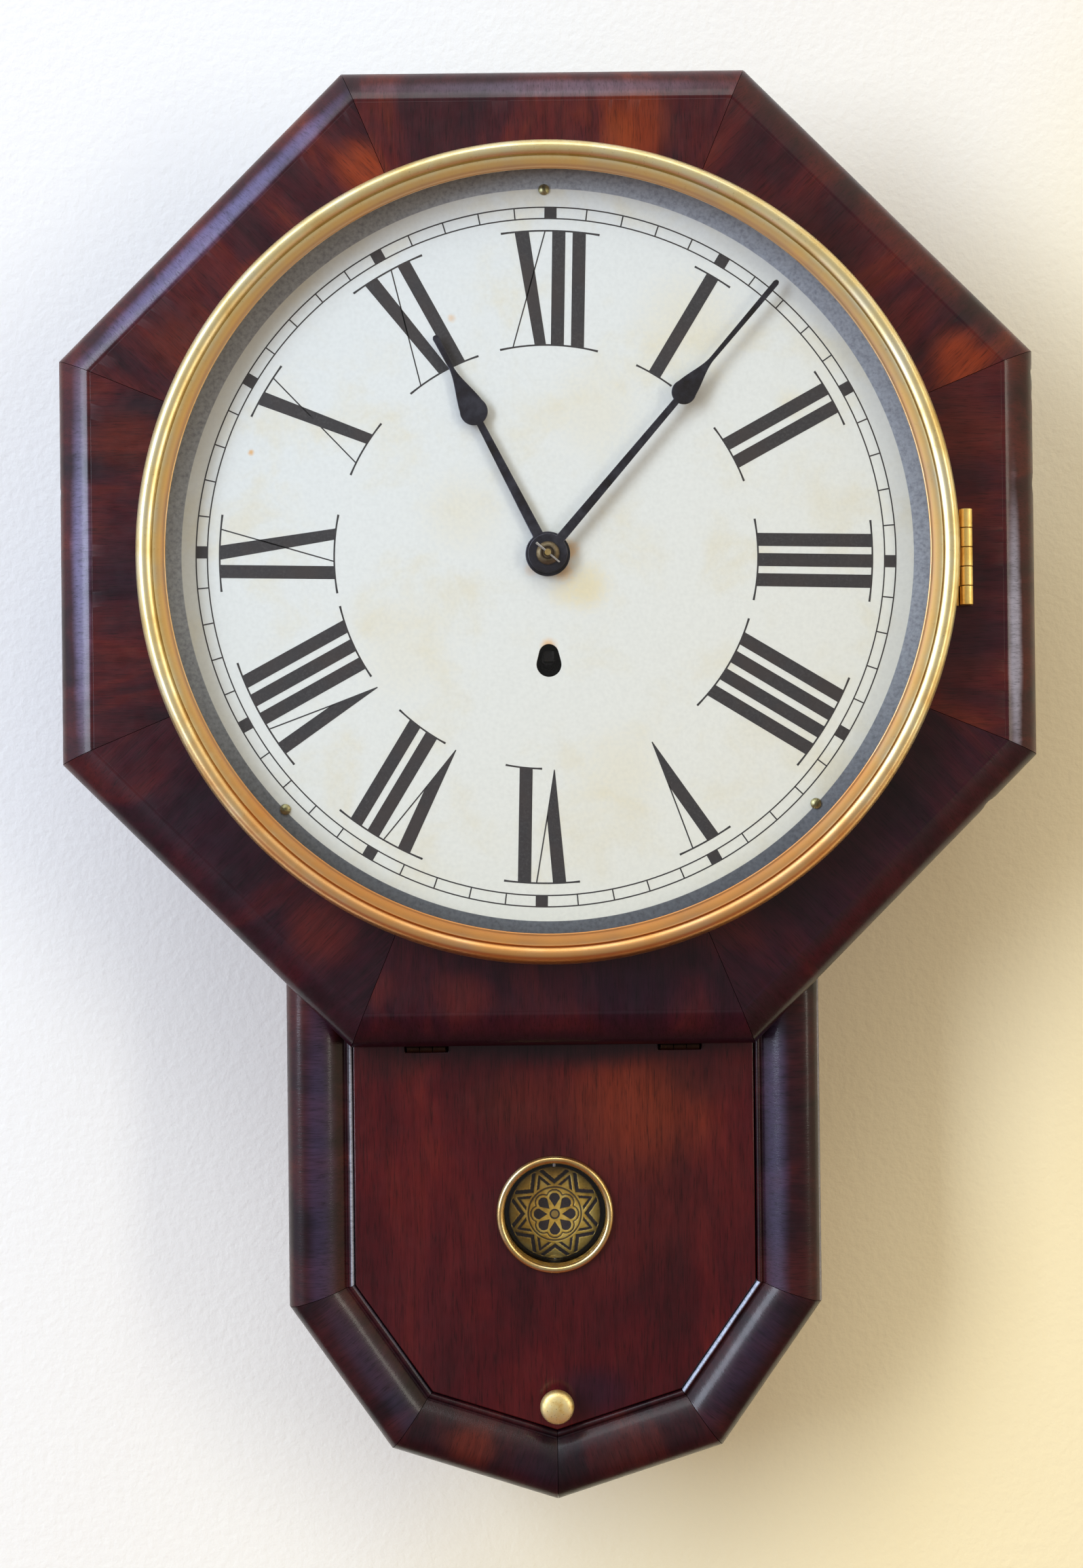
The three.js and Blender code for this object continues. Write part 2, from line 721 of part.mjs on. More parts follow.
const cannonPipe = { inner: centreArborRadius + running, outer: centreArborRadius + running + pipeWall };
const hourPipe = { inner: cannonPipe.outer + running, outer: cannonPipe.outer + running + pipeWall };
const arborEnd = {
  radius: 1.35,
  depth: minuteHandDepth + handThickness + 3.6,
  pinDepth: minuteHandDepth + handThickness + seat + 1.3 + seat + 0.6,
};
const greatModule = (2 * barrelDrop) / (greatTeeth + leaves);
const centreToThird = (centreModule * (centreTeeth + leaves)) / 2;
const thirdToEscape = (thirdModule * (thirdTeeth + leaves)) / 2;
const thirdY = (centreToThird ** 2 - thirdToEscape ** 2 + escapeRise ** 2) / (2 * escapeRise);
const thirdX = Math.sqrt(centreToThird ** 2 - thirdY ** 2);
const cannonModule = (2 * minuteWheelX) / (cannonTeeth + minuteTeeth);
const hourModule = (2 * minuteWheelX) / (minutePinionTeeth + hourTeeth);

// Depth from back to front of each layer
const layer = {
  great: [21.5, 24],
  drum: [24, 36],
  third: [29.5, 31],
  centre: [38, 39.6],
  escape: [49.4, 50.6],
  minute: [49.2, 50.4],
  hour: [51.4, 52.6],
  ratchet: [48.3, 50],
};
const reach = 1.2; // how far a pinion stands past its wheel, each way

// Teeth or leaves round a pitch circle, each tapering to a tip of the given share of the pitch; phase is the
// angle of one of them.
function toothOutline(teeth, module, phase, addendum, tipShare) {
  const pitch = (2 * Math.PI) / teeth;
  const radius = (module * teeth) / 2;
  const tip = radius + addendum * module;
  const root = radius - 1.25 * module;
  return Array.from({ length: teeth }, (_, i) => {
    const centre = phase + i * pitch;
    const flank = [polar(root, centre - 0.3 * pitch), polar(tip, centre - (tipShare / 2) * pitch)];
    const back = [polar(tip, centre + (tipShare / 2) * pitch), polar(root, centre + 0.3 * pitch)];
    return tipShare ? [...flank, ...back] : [...flank, back[1]];
  }).flat();
}

// Windows between the arms of a wheel
function crossings(arms, hub, rim, armWidth) {
  return Array.from({ length: arms }, (_, i) => {
    const from = (i * 2 * Math.PI) / arms;
    const to = ((i + 1) * 2 * Math.PI) / arms;
    const outer = [0, 1, 2, 3, 4].map((k) => {
      const lean = armWidth / rim;
      return polar(rim, from + lean + ((to - from - 2 * lean) * k) / 4);
    });
    const inner = [2, 1, 0].map((k) => {
      const lean = armWidth / hub;
      return polar(hub, from + lean + ((to - from - 2 * lean) * k) / 2);
    });
    return [...outer, ...inner];
  });
}

// An arbor between the plates, with its shoulders and pivots
function arbor(radius, end = frontPlateDepth + plateThickness + 0.5) {
  const pivot = radius * 0.6;
  return turned([
    [0, backPlateDepth - 0.3],
    [pivot, backPlateDepth - 0.3],
    [pivot, backPlateDepth + plateThickness + seat],
    [radius, backPlateDepth + plateThickness + seat],
    [radius, frontPlateDepth - seat],
    [pivot, frontPlateDepth - seat],
    [pivot, end],
    [0, end],
  ], 10);
}

// Wheel teeth are pointed and leaves are blunt
const wheel = (teeth, module, phase, [from, to], holes) =>
  prism(toothOutline(teeth, module, phase, 1, 0), from, to, holes);
const leafOutline = (count, module, phase) => toothOutline(count, module, phase, 0.6, 0.2);
const pinion = (module, phase, [from, to]) =>
  prism(leafOutline(leaves, module, phase), from - reach, to + reach);

function plateOutline() {
  const { halfWidth, top, bottom, corner } = plate;
  return points([
    [halfWidth - corner, bottom],
    [halfWidth, bottom + corner],
    [halfWidth, top - corner],
    [halfWidth - corner, top],
    [corner - halfWidth, top],
    [-halfWidth, top - corner],
    [-halfWidth, bottom + corner],
    [corner - halfWidth, bottom],
  ]);
}

const pillarPoints = [pillar.top, pillar.bottom].flatMap((y) => [
  [-pillar.x, y],
  [pillar.x, y],
]);
const thirdRadius = 1.2;
const escapeArborRadius = 1;
const anchorArborRadius = 1.2;
const tenonRadius = 1.9;

function addPlates() {
  const hole = (radius, x, y) => circle(radius + running, 12, x, y);
  const backHoles = [
    hole(centreArborRadius * 0.6, 0, 0),
    hole(windingArborRadius * 0.6, 0, -barrelDrop),
    hole(thirdRadius * 0.6, thirdX, thirdY),
    hole(escapeArborRadius * 0.6, 0, escapeRise),
  ];
  const back = prism(plateOutline(), backPlateDepth, backPlateDepth + plateThickness, backHoles);
  const posts = pillarPoints.map(([x, y]) =>
    join(
      rod(pillar.radius, backboardThickness + seat, frontPlateDepth - seat, 10, x, y),
      rod(tenonRadius, frontPlateDepth - seat, frontPlateDepth + plateThickness + 1.2, 10, x, y),
    ),
  );
  add("movement_back_plate", join(back, ...posts), movementBrass);

  const frontHoles = [
    hole(centreArborRadius, 0, 0),
    hole(windingArborRadius, 0, -barrelDrop),
    hole(thirdRadius * 0.6, thirdX, thirdY),
    hole(escapeArborRadius * 0.6, 0, escapeRise),
    hole(anchorArborRadius, 0, anchorRise),
    ...pillarPoints.map(([x, y]) => hole(tenonRadius, x, y)),
  ];
  const front = prism(plateOutline(), frontPlateDepth, frontPlateDepth + plateThickness, frontHoles);
  const face = frontPlateDepth + plateThickness;
  const minuteStud = rod(studRadius, face - 0.5, layer.hour[1] + reach + 0.4, 12, minuteWheelX, 0);
  const clickStud = rod(studRadius, face - 0.5, layer.ratchet[1] + 0.6, 12, clickPivot.x, clickPivot.y);
  add("movement_front_plate", join(front, minuteStud, clickStud), movementBrass);
}

const studRadius = 0.9;
const clickLean = 38; // degrees off the ratchet's centre
const clickPivot = { x: -15.5, y: -barrelDrop + 6 };

function addBarrel() {
  const down = -Math.PI / 2;
  const bore = windingArborRadius + running;
  const great = wheel(greatTeeth, greatModule, -down, layer.great, [circle(bore, 20)]);
  const drum = prism(circle(barrelRadius, 40), layer.drum[0] - 0.2, layer.drum[1], [circle(bore, 20)]);
  add("barrel_great_wheel", join(great, drum), movementBrass, 0, -barrelDrop);

  const half = windingSquare / 2;
  const [from, to] = layer.ratchet;
  const pivot = windingArborRadius * 0.6;
  const shaft = turned([
    [0, backPlateDepth - 0.3],
    [pivot, backPlateDepth - 0.3],
    [pivot, backPlateDepth + plateThickness + seat],
    [windingArborRadius, backPlateDepth + plateThickness + seat],
    [windingArborRadius, windingArborEnd - 16],
    [0, windingArborEnd - 16],
  ], 16);
  const square = block(-half, half, -half, half, windingArborEnd - 17, windingArborEnd);
  const teeth = Array.from({ length: ratchet.teeth }, (_, i) => {
    const angle = (i * 2 * Math.PI) / ratchet.teeth;
    return [polar(ratchet.tip, angle), polar(ratchet.root, angle + 0.03)];
  }).flat();
  add("winding_arbor", join(shaft, square, prism(teeth, from, to)), steel, 0, -barrelDrop);

  // The click points past the ratchet's centre and stands just clear of its teeth
  const toward = Math.atan2(-barrelDrop - clickPivot.y, -clickPivot.x) + clickLean * degrees;
  const nose = 8.4;
  const body = points([
    [0, -2.4],
    [nose - 1.6, -1.1],
    [nose, 0.6],
    [nose - 2.6, 1.2],
    [0, 2.4],
    [-2.2, 1.1],
    [-2.2, -1.1],
  ]);
  const click = prism(body, from + 0.1, to - 0.1, [circle(studRadius + running, 12)]);
  const mesh = add("click", click, steel, clickPivot.x, clickPivot.y);
  mesh.rotation.z = toward;
}

function addTrain() {
  const toThird = Math.atan2(thirdY, thirdX);
  const toEscape = Math.atan2(escapeRise - thirdY, -thirdX);
  const gapBeside = Math.PI / leaves;
  const { depth, radius, pinDepth } = arborEnd;
  const drill = new THREE.CylinderGeometry(0.75, 0.75, 6, 10).rotateZ(Math.PI / 2 + taperPinAngle * degrees);
  const pinHole = solidOf(drill.translate(0, 0, pinDepth));
  const centreShaft = turned([
    [0, backPlateDepth - 0.3],
    [centreArborRadius * 0.6, backPlateDepth - 0.3],
    [centreArborRadius * 0.6, backPlateDepth + plateThickness + seat],
    [centreArborRadius, backPlateDepth + plateThickness + seat],
    [centreArborRadius, minuteHandDepth],
    [radius, minuteHandDepth],
    [radius, depth],
    [0, depth],
  ], 12);
  const centre = join(
    cut(centreShaft, pinHole),
    pinion(greatModule, -Math.PI / 2 + gapBeside, layer.great),
    wheel(centreTeeth, centreModule, toThird, layer.centre, crossings(5, 5, 17.2, 1.3)),
  );
  add("centre_wheel_arbor", centre, movementBrass);

  const third = join(
    arbor(thirdRadius),
    pinion(centreModule, toThird + Math.PI + gapBeside, layer.centre),
    wheel(thirdTeeth, thirdModule, toEscape, layer.third, crossings(5, 4.4, 14.8, 1.2)),
  );
  add("third_wheel_arbor", third, movementBrass, thirdX, thirdY);

  const tooth = (2 * Math.PI) / escapeTeeth;
  const escapeOutline = Array.from({ length: escapeTeeth }, (_, i) => [
    polar(escapeRadius - 2.9, i * tooth - 0.42 * tooth),
    polar(escapeRadius, i * tooth),
    polar(escapeRadius, i * tooth + 0.08 * tooth),
    polar(escapeRadius - 2.9, i * tooth + 0.3 * tooth),
  ]).flat();
  const escape = join(
    arbor(escapeArborRadius, layer.escape[1] + 0.4),
    rod(2.2, layer.escape[0] - 0.8, layer.escape[1] + 0.2, 12),
    pinion(thirdModule, toEscape + Math.PI + gapBeside, layer.third),
    prism(escapeOutline, ...layer.escape, crossings(4, 3.4, 9.6, 1)),
  );
  add("escape_wheel_arbor", escape, movementBrass, 0, escapeRise);
}

function addMotionWorks() {
  const pipe = ({ inner, outer }, from, to) => prism(circle(outer, 18), from, to, [circle(inner, 18)]);
  const from = layer.minute[0] - 0.5;
  const cannonBore = [circle(cannonPipe.inner, 18)];
  const cannonLeaves = leafOutline(cannonTeeth, cannonModule, 0);
  const cannon = join(
    prism(cannonLeaves, from, layer.minute[1] + 0.5, cannonBore),
    pipe(cannonPipe, from, minuteHandDepth + handThickness),
  );
  add("cannon_pinion", cannon, movementBrass);

  const studHole = [circle(studRadius + running, 12)];
  const minuteLeaves = leafOutline(minutePinionTeeth, hourModule, Math.PI);
  const minuteWheel = join(
    wheel(minuteTeeth, cannonModule, Math.PI + Math.PI / minuteTeeth, layer.minute, studHole),
    prism(minuteLeaves, layer.minute[1] - 0.2, layer.hour[1] + 0.5, studHole),
  );
  add("minute_wheel", minuteWheel, movementBrass, minuteWheelX, 0);

  const hourWheel = join(
    wheel(hourTeeth, hourModule, Math.PI / hourTeeth, layer.hour, [circle(hourPipe.inner, 18)]),
    pipe(hourPipe, layer.hour[0], hourHandDepth + handThickness),
  );
  add("hour_wheel", hourWheel, movementBrass);
}

// Escapement and pendulum

const crutchDepth = [52, 53.2];
const cheeks = [[pendulumDepth - 3.1, pendulumDepth - 1.8], [pendulumDepth + 1.8, pendulumDepth + 3.1]];
const forkY = 30;
const springBlock = { top: 46, low: 41 };
const springPinRadius = 0.9;

function addEscapement() {
  const rise = anchorRise - escapeRise;
  const span = 44 * degrees;
  const escapeArbor = new THREE.Vector2(0, -rise);
  const band = (inner, outer, from, to, steps) => {
    const arc = (radius, a, b) =>
      Array.from({ length: steps + 1 }, (_, i) => polar(radius, a + ((b - a) * i) / steps).add(escapeArbor));
    return [...arc(outer, from, to), ...arc(inner, to, from)];
  };
  const up = Math.PI / 2;
  const [from, to] = layer.escape;
  const palletWidth = 6 * degrees;
  const pallets = [up - span, up + span - palletWidth].map((start) => {
    const outline = band(escapeRadius + 0.9, escapeRadius + 3.2, start, start + palletWidth, 1);
    return prism(outline, from, to);
  });
  const arch = prism(band(escapeRadius + 1.4, escapeRadius + 3.8, up - span, up + span, 10), from, to);
  const shaft = turned([
    [0, frontPlateDepth - 1],
    [anchorArborRadius, frontPlateDepth - 1],
    [anchorArborRadius, cheeks[0][0] - seat],
    [0, cheeks[0][0] - seat],
  ], 12);
  const low = forkY - anchorRise;
  const finger = rodRadius + running + 0.1;
  const crutch = [
    block(-0.7, 0.7, low, 0, ...crutchDepth),
    block(-finger - 0.9, finger + 0.9, low - 0.8, low + 0.8, ...crutchDepth),
    block(-finger - 0.9, -finger, low - 0.8, low + 0.8, crutchDepth[0], pendulumDepth + 1.6),
    block(finger, finger + 0.9, low - 0.8, low + 0.8, crutchDepth[0], pendulumDepth + 1.6),
  ];
  const anchor = join(arch, ...pallets, rod(2.8, from, to, 16), shaft, ...crutch);
  add("anchor_and_crutch", anchor, steel, 0, anchorRise);

  const face = frontPlateDepth + plateThickness + seat;
  const cock = join(
    block(-5, 5, anchorRise + 3.5, plate.top - 1, face, face + 1.5),
    block(-2.2, 2.2, anchorRise + 4, anchorRise + 8, face, cheeks[1][1]),
    ...cheeks.map(([a, b]) => block(-2.8, 2.8, anchorRise - 2.6, anchorRise + 8, a, b)),
  );
  const pinHole = rod(springPinRadius + running, cheeks[0][0] - 1, cheeks[1][1] + 1, 12, 0, anchorRise);
  add("suspension_cock", cut(cock, pinHole), movementBrass);
}

function addPendulum() {
  const between = [cheeks[0][1] + seat, cheeks[1][0] - seat];
  const upright = (radius, low, high) => {
    const cylinder = new THREE.CylinderGeometry(radius, radius, high - low, 10);
    return solidOf(cylinder.translate(0, (low + high) / 2, pendulumDepth));
  };
  const { top, low } = springBlock;
  const socketTop = top - 1.6;
  const socket = upright(rodRadius + running, low - 1, socketTop);
  const spring = join(
    rod(springPinRadius, cheeks[0][0], cheeks[1][1], 12, 0, anchorRise),
    block(-0.2, 0.2, top - 0.5, anchorRise, ...between),
    cut(block(-1.9, 1.9, low, top, ...between), socket),
  );
  add("suspension_spring", spring, steel);

  const nut = { top: bobY - bobRadius - seat, low: bobY - bobRadius - seat - 3.4 };
  const { top: bowTop, foot: bowFoot, out } = rodBow;
  const bowPoints = [
    [0, 0],
    [0.35, 0.08],
    [0.95, 0.17],
    [1, 0.455],
    [0.95, 0.8],
    [0.35, 0.91],
    [0, 1],
  ].map(([x, down]) => new THREE.Vector3(out * x, bowTop + (bowFoot - bowTop) * down, pendulumDepth));
  const bow = new THREE.ExtrudeGeometry(new THREE.Shape(circle(rodRadius, 8)), {
    steps: 16,
    extrudePath: new THREE.CatmullRomCurve3(bowPoints),
  });
  const rodSolid = join(
    upright(rodRadius, bowTop - 0.6, socketTop - seat),
    solidOf(bow),
    upright(rodRadius, nut.low - 3, bowFoot + 0.6),
    upright(3.6, nut.low, nut.top),
  );
  add("pendulum_rod", rodSolid, steel);

  const half = bobThickness / 2;
  const face = (side) => [
    [bobRadius, side * 0.6],
    [bobRadius - 1.2, side * 1.4],
    [bobRadius * 0.72, side * half * 0.66],
    [bobRadius * 0.38, side * half * 0.92],
    [0, side * half],
  ];
  const bob = turned([...face(-1).toReversed(), ...face(1)], 28);
  const boreRadius = rodRadius + running;
  const bore = solidOf(new THREE.CylinderGeometry(boreRadius, boreRadius, 3 * bobRadius, 10));
  add("pendulum_bob", cut(bob, bore), brass, 0, bobY, pendulumDepth);
}

addHead();
addCaseBack();
addHanger();
addDrop();
addDoor();
addBezel();
addDial();
addPlates();
addBarrel();
addTrain();
addMotionWorks();
addHands();
addEscapement();
addPendulum();

const wallClock = new THREE.Group();
wallClock.add(clock);
export default wallClock;
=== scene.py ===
import bmesh
import bpy
import json
import math
from mathutils import Matrix, Vector, noise
from types import SimpleNamespace


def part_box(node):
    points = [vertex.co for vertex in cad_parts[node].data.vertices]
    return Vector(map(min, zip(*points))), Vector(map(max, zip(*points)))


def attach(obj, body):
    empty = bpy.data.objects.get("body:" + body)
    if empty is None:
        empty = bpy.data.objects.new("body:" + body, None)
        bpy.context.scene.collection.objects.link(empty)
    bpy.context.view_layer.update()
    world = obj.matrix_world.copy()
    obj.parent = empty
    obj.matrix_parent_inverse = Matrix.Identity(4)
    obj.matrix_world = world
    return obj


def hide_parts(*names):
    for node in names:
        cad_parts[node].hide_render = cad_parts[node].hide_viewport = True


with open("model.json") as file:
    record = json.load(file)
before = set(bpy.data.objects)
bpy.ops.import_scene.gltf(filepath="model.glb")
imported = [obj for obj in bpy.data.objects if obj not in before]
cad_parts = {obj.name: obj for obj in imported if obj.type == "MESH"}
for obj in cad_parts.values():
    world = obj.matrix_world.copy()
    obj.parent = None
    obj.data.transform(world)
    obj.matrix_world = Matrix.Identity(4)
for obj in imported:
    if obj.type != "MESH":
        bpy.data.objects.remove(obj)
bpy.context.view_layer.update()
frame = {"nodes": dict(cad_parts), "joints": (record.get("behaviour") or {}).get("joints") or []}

# Lengths are millimetres in the dial's frame until a piece is placed: x right, y up, z out of the wall,
# and the hands' axis at 0, 0.
mm = 0.001
handsAxis = next(j["pos_m"] for j in frame["joints"] if j["name"] == "minute_arbor_turn")
dialFrame = Matrix.Translation((handsAxis[0], 0, handsAxis[2])) @ Matrix.Rotation(math.pi / 2, 4, "X")
scene = bpy.context.scene
scene.view_settings.view_transform = "Standard"


def span(node):  # a node's box in the dial's frame
    low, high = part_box(node)
    return SimpleNamespace(
        left=low.x / mm,
        right=high.x / mm,
        low=(low.z - handsAxis[2]) / mm,
        high=(high.z - handsAxis[2]) / mm,
        back=-high.y / mm,
        front=-low.y / mm,
    )


# Materials


def toLinear(hexColour):
    parts = [int(hexColour[i : i + 2], 16) / 255 for i in (1, 3, 5)]
    return tuple(c / 12.92 if c <= 0.04045 else ((c + 0.055) / 1.055) ** 2.4 for c in parts) + (1,)


def addNode(tree, kind, settings={}, inputs={}):
    node = tree.nodes.new(kind)
    for key, value in settings.items():
        if key != "stops":
            setattr(node, key, value)
            continue
        elements = node.color_ramp.elements
        elements.remove(elements[1])
        for i, (place, colour) in enumerate(value):
            element = elements.new(place) if i else elements[0]
            element.position = place
            element.color = toLinear(colour) if isinstance(colour, str) else (colour, colour, colour, 1)
    for key, value in inputs.items():
        if isinstance(value, bpy.types.NodeSocket):
            tree.links.new(value, node.inputs[key])
        else:
            node.inputs[key].default_value = value
    return node


def newMaterial(name):
    material = bpy.data.materials.new(name)
    material.use_nodes = True
    material.node_tree.nodes.clear()
    return material, material.node_tree


def perMetre(size):  # a pattern's scale, from the width of one of its spots in millimetres
    return 1 / (size * mm)


# Veneer, knife-cut and French polished: deep colour under a clear skin; the pale bluish bands that some
# patches lay along the bevels are painted sheen.
# The grain runs along the piece's own y, and the figure shows as near-black bands in red brown.
veneerLook = {
    "dark": "#270d16",
    "middle": "#3e131a",
    "light": "#521919",
    "warm": "#6c2916",
    "figure": 26,
    "streak": 3.2,
    "pore": 0.55,  # drawn about twice as coarse as real pores, so that it shows
    "ripple": 9,
    "drift": (0.317, 0.179, 0.07),  # metres between the shares of the pattern that two seeds take
    "figureStretch": (1, 0.34, 1),
    "grainStretch": (1, 0.07, 0.5),
}


def veneerMaterial(name, seed, patches, look={}):
    # a patch is x, y, half width, half height, strength and colour, in the piece's own millimetres
    wood = {**veneerLook, **look}
    material, tree = newMaterial(name)
    place = addNode(tree, "ShaderNodeTexCoord").outputs["Object"]
    drift = tuple(seed * step for step in wood["drift"])
    shifted = addNode(
        tree, "ShaderNodeVectorMath", {"operation": "ADD"}, {0: place, 1: drift}
    ).outputs[0]
    longer = addNode(
        tree, "ShaderNodeVectorMath", {"operation": "MULTIPLY"}, {0: shifted, 1: wood["figureStretch"]}
    ).outputs[0]
    stretched = addNode(
        tree, "ShaderNodeVectorMath", {"operation": "MULTIPLY"}, {0: shifted, 1: wood["grainStretch"]}
    ).outputs[0]
    figure = addNode(
        tree,
        "ShaderNodeTexNoise",
        inputs={
            "Vector": longer,
            "Scale": perMetre(wood["figure"]),
            "Detail": 4,
            "Roughness": 0.55,
            "Distortion": 0.7,
        },
    )
    colour = addNode(
        tree,
        "ShaderNodeValToRGB",
        {
            "stops": [
                (0.34, wood["dark"]),
                (0.47, wood["middle"]),
                (0.58, wood["light"]),
                (0.74, wood["warm"]),
            ]
        },
        {0: figure.outputs[0]},
    ).outputs[0]
    for x, y, width, height, strength, paint in patches:
        offset = addNode(
            tree, "ShaderNodeVectorMath", {"operation": "SUBTRACT"}, {0: place, 1: (x * mm, y * mm, 0)}
        ).outputs[0]
        scaled = addNode(
            tree,
            "ShaderNodeVectorMath",
            {"operation": "MULTIPLY"},
            {0: offset, 1: (perMetre(width), perMetre(height), 0)},
        ).outputs[0]
        reach = addNode(tree, "ShaderNodeVectorMath", {"operation": "LENGTH"}, {0: scaled}).outputs["Value"]
        ragged = addNode(
            tree, "ShaderNodeMath", {"operation": "MULTIPLY_ADD"}, {0: figure.outputs[0], 1: -0.9, 2: reach}
        ).outputs[0]
        share = addNode(
            tree,
            "ShaderNodeMapRange",
            {"interpolation_type": "SMOOTHSTEP"},
            {"Value": ragged, "From Min": 0.65, "From Max": -0.2, "To Max": strength},
        ).outputs[0]
        colour = addNode(
            tree, "ShaderNodeMix", {"data_type": "RGBA"}, {0: share, 6: colour, 7: toLinear(paint)}
        ).outputs[2]
    streak = addNode(
        tree,
        "ShaderNodeTexNoise",
        inputs={"Vector": stretched, "Scale": perMetre(wood["streak"]), "Detail": 5, "Roughness": 0.65},
    )
    streakShade = addNode(
        tree, "ShaderNodeValToRGB", {"stops": [(0.3, 0.55), (0.5, 0.85), (0.68, 1.0)]}, {0: streak.outputs[0]}
    ).outputs[0]
    pore = addNode(
        tree,
        "ShaderNodeTexNoise",
        inputs={"Vector": stretched, "Scale": perMetre(wood["pore"]), "Detail": 2, "Roughness": 0.7},
    )
    poreShade = addNode(
        tree, "ShaderNodeValToRGB", {"stops": [(0.3, 0.35), (0.44, 0.85), (0.6, 1.0)]}, {0: pore.outputs[0]}
    ).outputs[0]
    streaked = addNode(
        tree,
        "ShaderNodeMix",
        {"data_type": "RGBA", "blend_type": "MULTIPLY"},
        {0: 0.85, 6: colour, 7: streakShade},
    ).outputs[2]
    pored = addNode(
        tree,
        "ShaderNodeMix",
        {"data_type": "RGBA", "blend_type": "MULTIPLY"},
        {0: 0.8, 6: streaked, 7: poreShade},
    ).outputs[2]
    ripple = addNode(
        tree,
        "ShaderNodeTexNoise",
        inputs={"Vector": shifted, "Scale": perMetre(wood["ripple"]), "Detail": 3, "Roughness": 0.6},
    )
    roughness = addNode(
        tree,
        "ShaderNodeMapRange",
        inputs={"Value": ripple.outputs[0], "From Min": 0.3, "From Max": 0.7, "To Min": 0.28, "To Max": 0.44},
    ).outputs[0]
    height = addNode(
        tree,
        "ShaderNodeMath",
        {"operation": "MULTIPLY_ADD"},
        {0: ripple.outputs[0], 1: 0.7, 2: pore.outputs[0]},
    ).outputs[0]
    bump = addNode(
        tree, "ShaderNodeBump", inputs={"Strength": 0.35, "Distance": 0.12 * mm, "Height": height}
    ).outputs[0]
    shader = addNode(
        tree,
        "ShaderNodeBsdfPrincipled",
        inputs={
            "Base Color": pored,
            "Roughness": roughness,
            "IOR": 1.5,
            "Specular IOR Level": 0.2,
            "Coat Weight": 0.32,
            "Coat Roughness": 0.15,
            "Normal": bump,
            "Coat Normal": bump,
        },
    )
    addNode(tree, "ShaderNodeOutputMaterial", inputs={"Surface": shader.outputs[0]})
    return material


# Softwood stained brown and left unpolished: dull, with soft growth lines along its length
def pineMaterial(name, look):
    material, tree = newMaterial(name)
    place = addNode(tree, "ShaderNodeTexCoord").outputs["Object"]
    stretched = addNode(
        tree, "ShaderNodeVectorMath", {"operation": "MULTIPLY"}, {0: place, 1: look["stretch"]}
    ).outputs[0]
    rings = addNode(
        tree,
        "ShaderNodeTexNoise",
        inputs={
            "Vector": stretched,
            "Scale": perMetre(look["ring"]),
            "Detail": 4,
            "Roughness": 0.6,
            "Distortion": 0.4,
        },
    )
    stain = addNode(
        tree,
        "ShaderNodeTexNoise",
        inputs={"Vector": place, "Scale": perMetre(look["stain"]), "Detail": 4, "Roughness": 0.6},
    )
    wood = addNode(
        tree,
        "ShaderNodeValToRGB",
        {"stops": [(0.3, look["late"]), (0.46, look["early"]), (0.7, look["pale"])]},
        {0: rings.outputs[0]},
    ).outputs[0]
    grime = addNode(
        tree, "ShaderNodeValToRGB", {"stops": [(0.35, 0.45), (0.6, 1.0)]}, {0: stain.outputs[0]}
    ).outputs[0]
    colour = addNode(
        tree,
        "ShaderNodeMix",
        {"data_type": "RGBA", "blend_type": "MULTIPLY"},
        {0: 0.8, 6: wood, 7: grime},
    ).outputs[2]
    bump = addNode(
        tree,
        "ShaderNodeBump",
        inputs={"Strength": 0.5, "Distance": 0.25 * mm, "Height": rings.outputs[0]},
    ).outputs[0]
    shader = addNode(
        tree,
        "ShaderNodeBsdfPrincipled",
        inputs={"Base Color": colour, "Roughness": 0.78, "IOR": 1.5, "Normal": bump},
    )
    addNode(tree, "ShaderNodeOutputMaterial", inputs={"Surface": shader.outputs[0]})
    return material


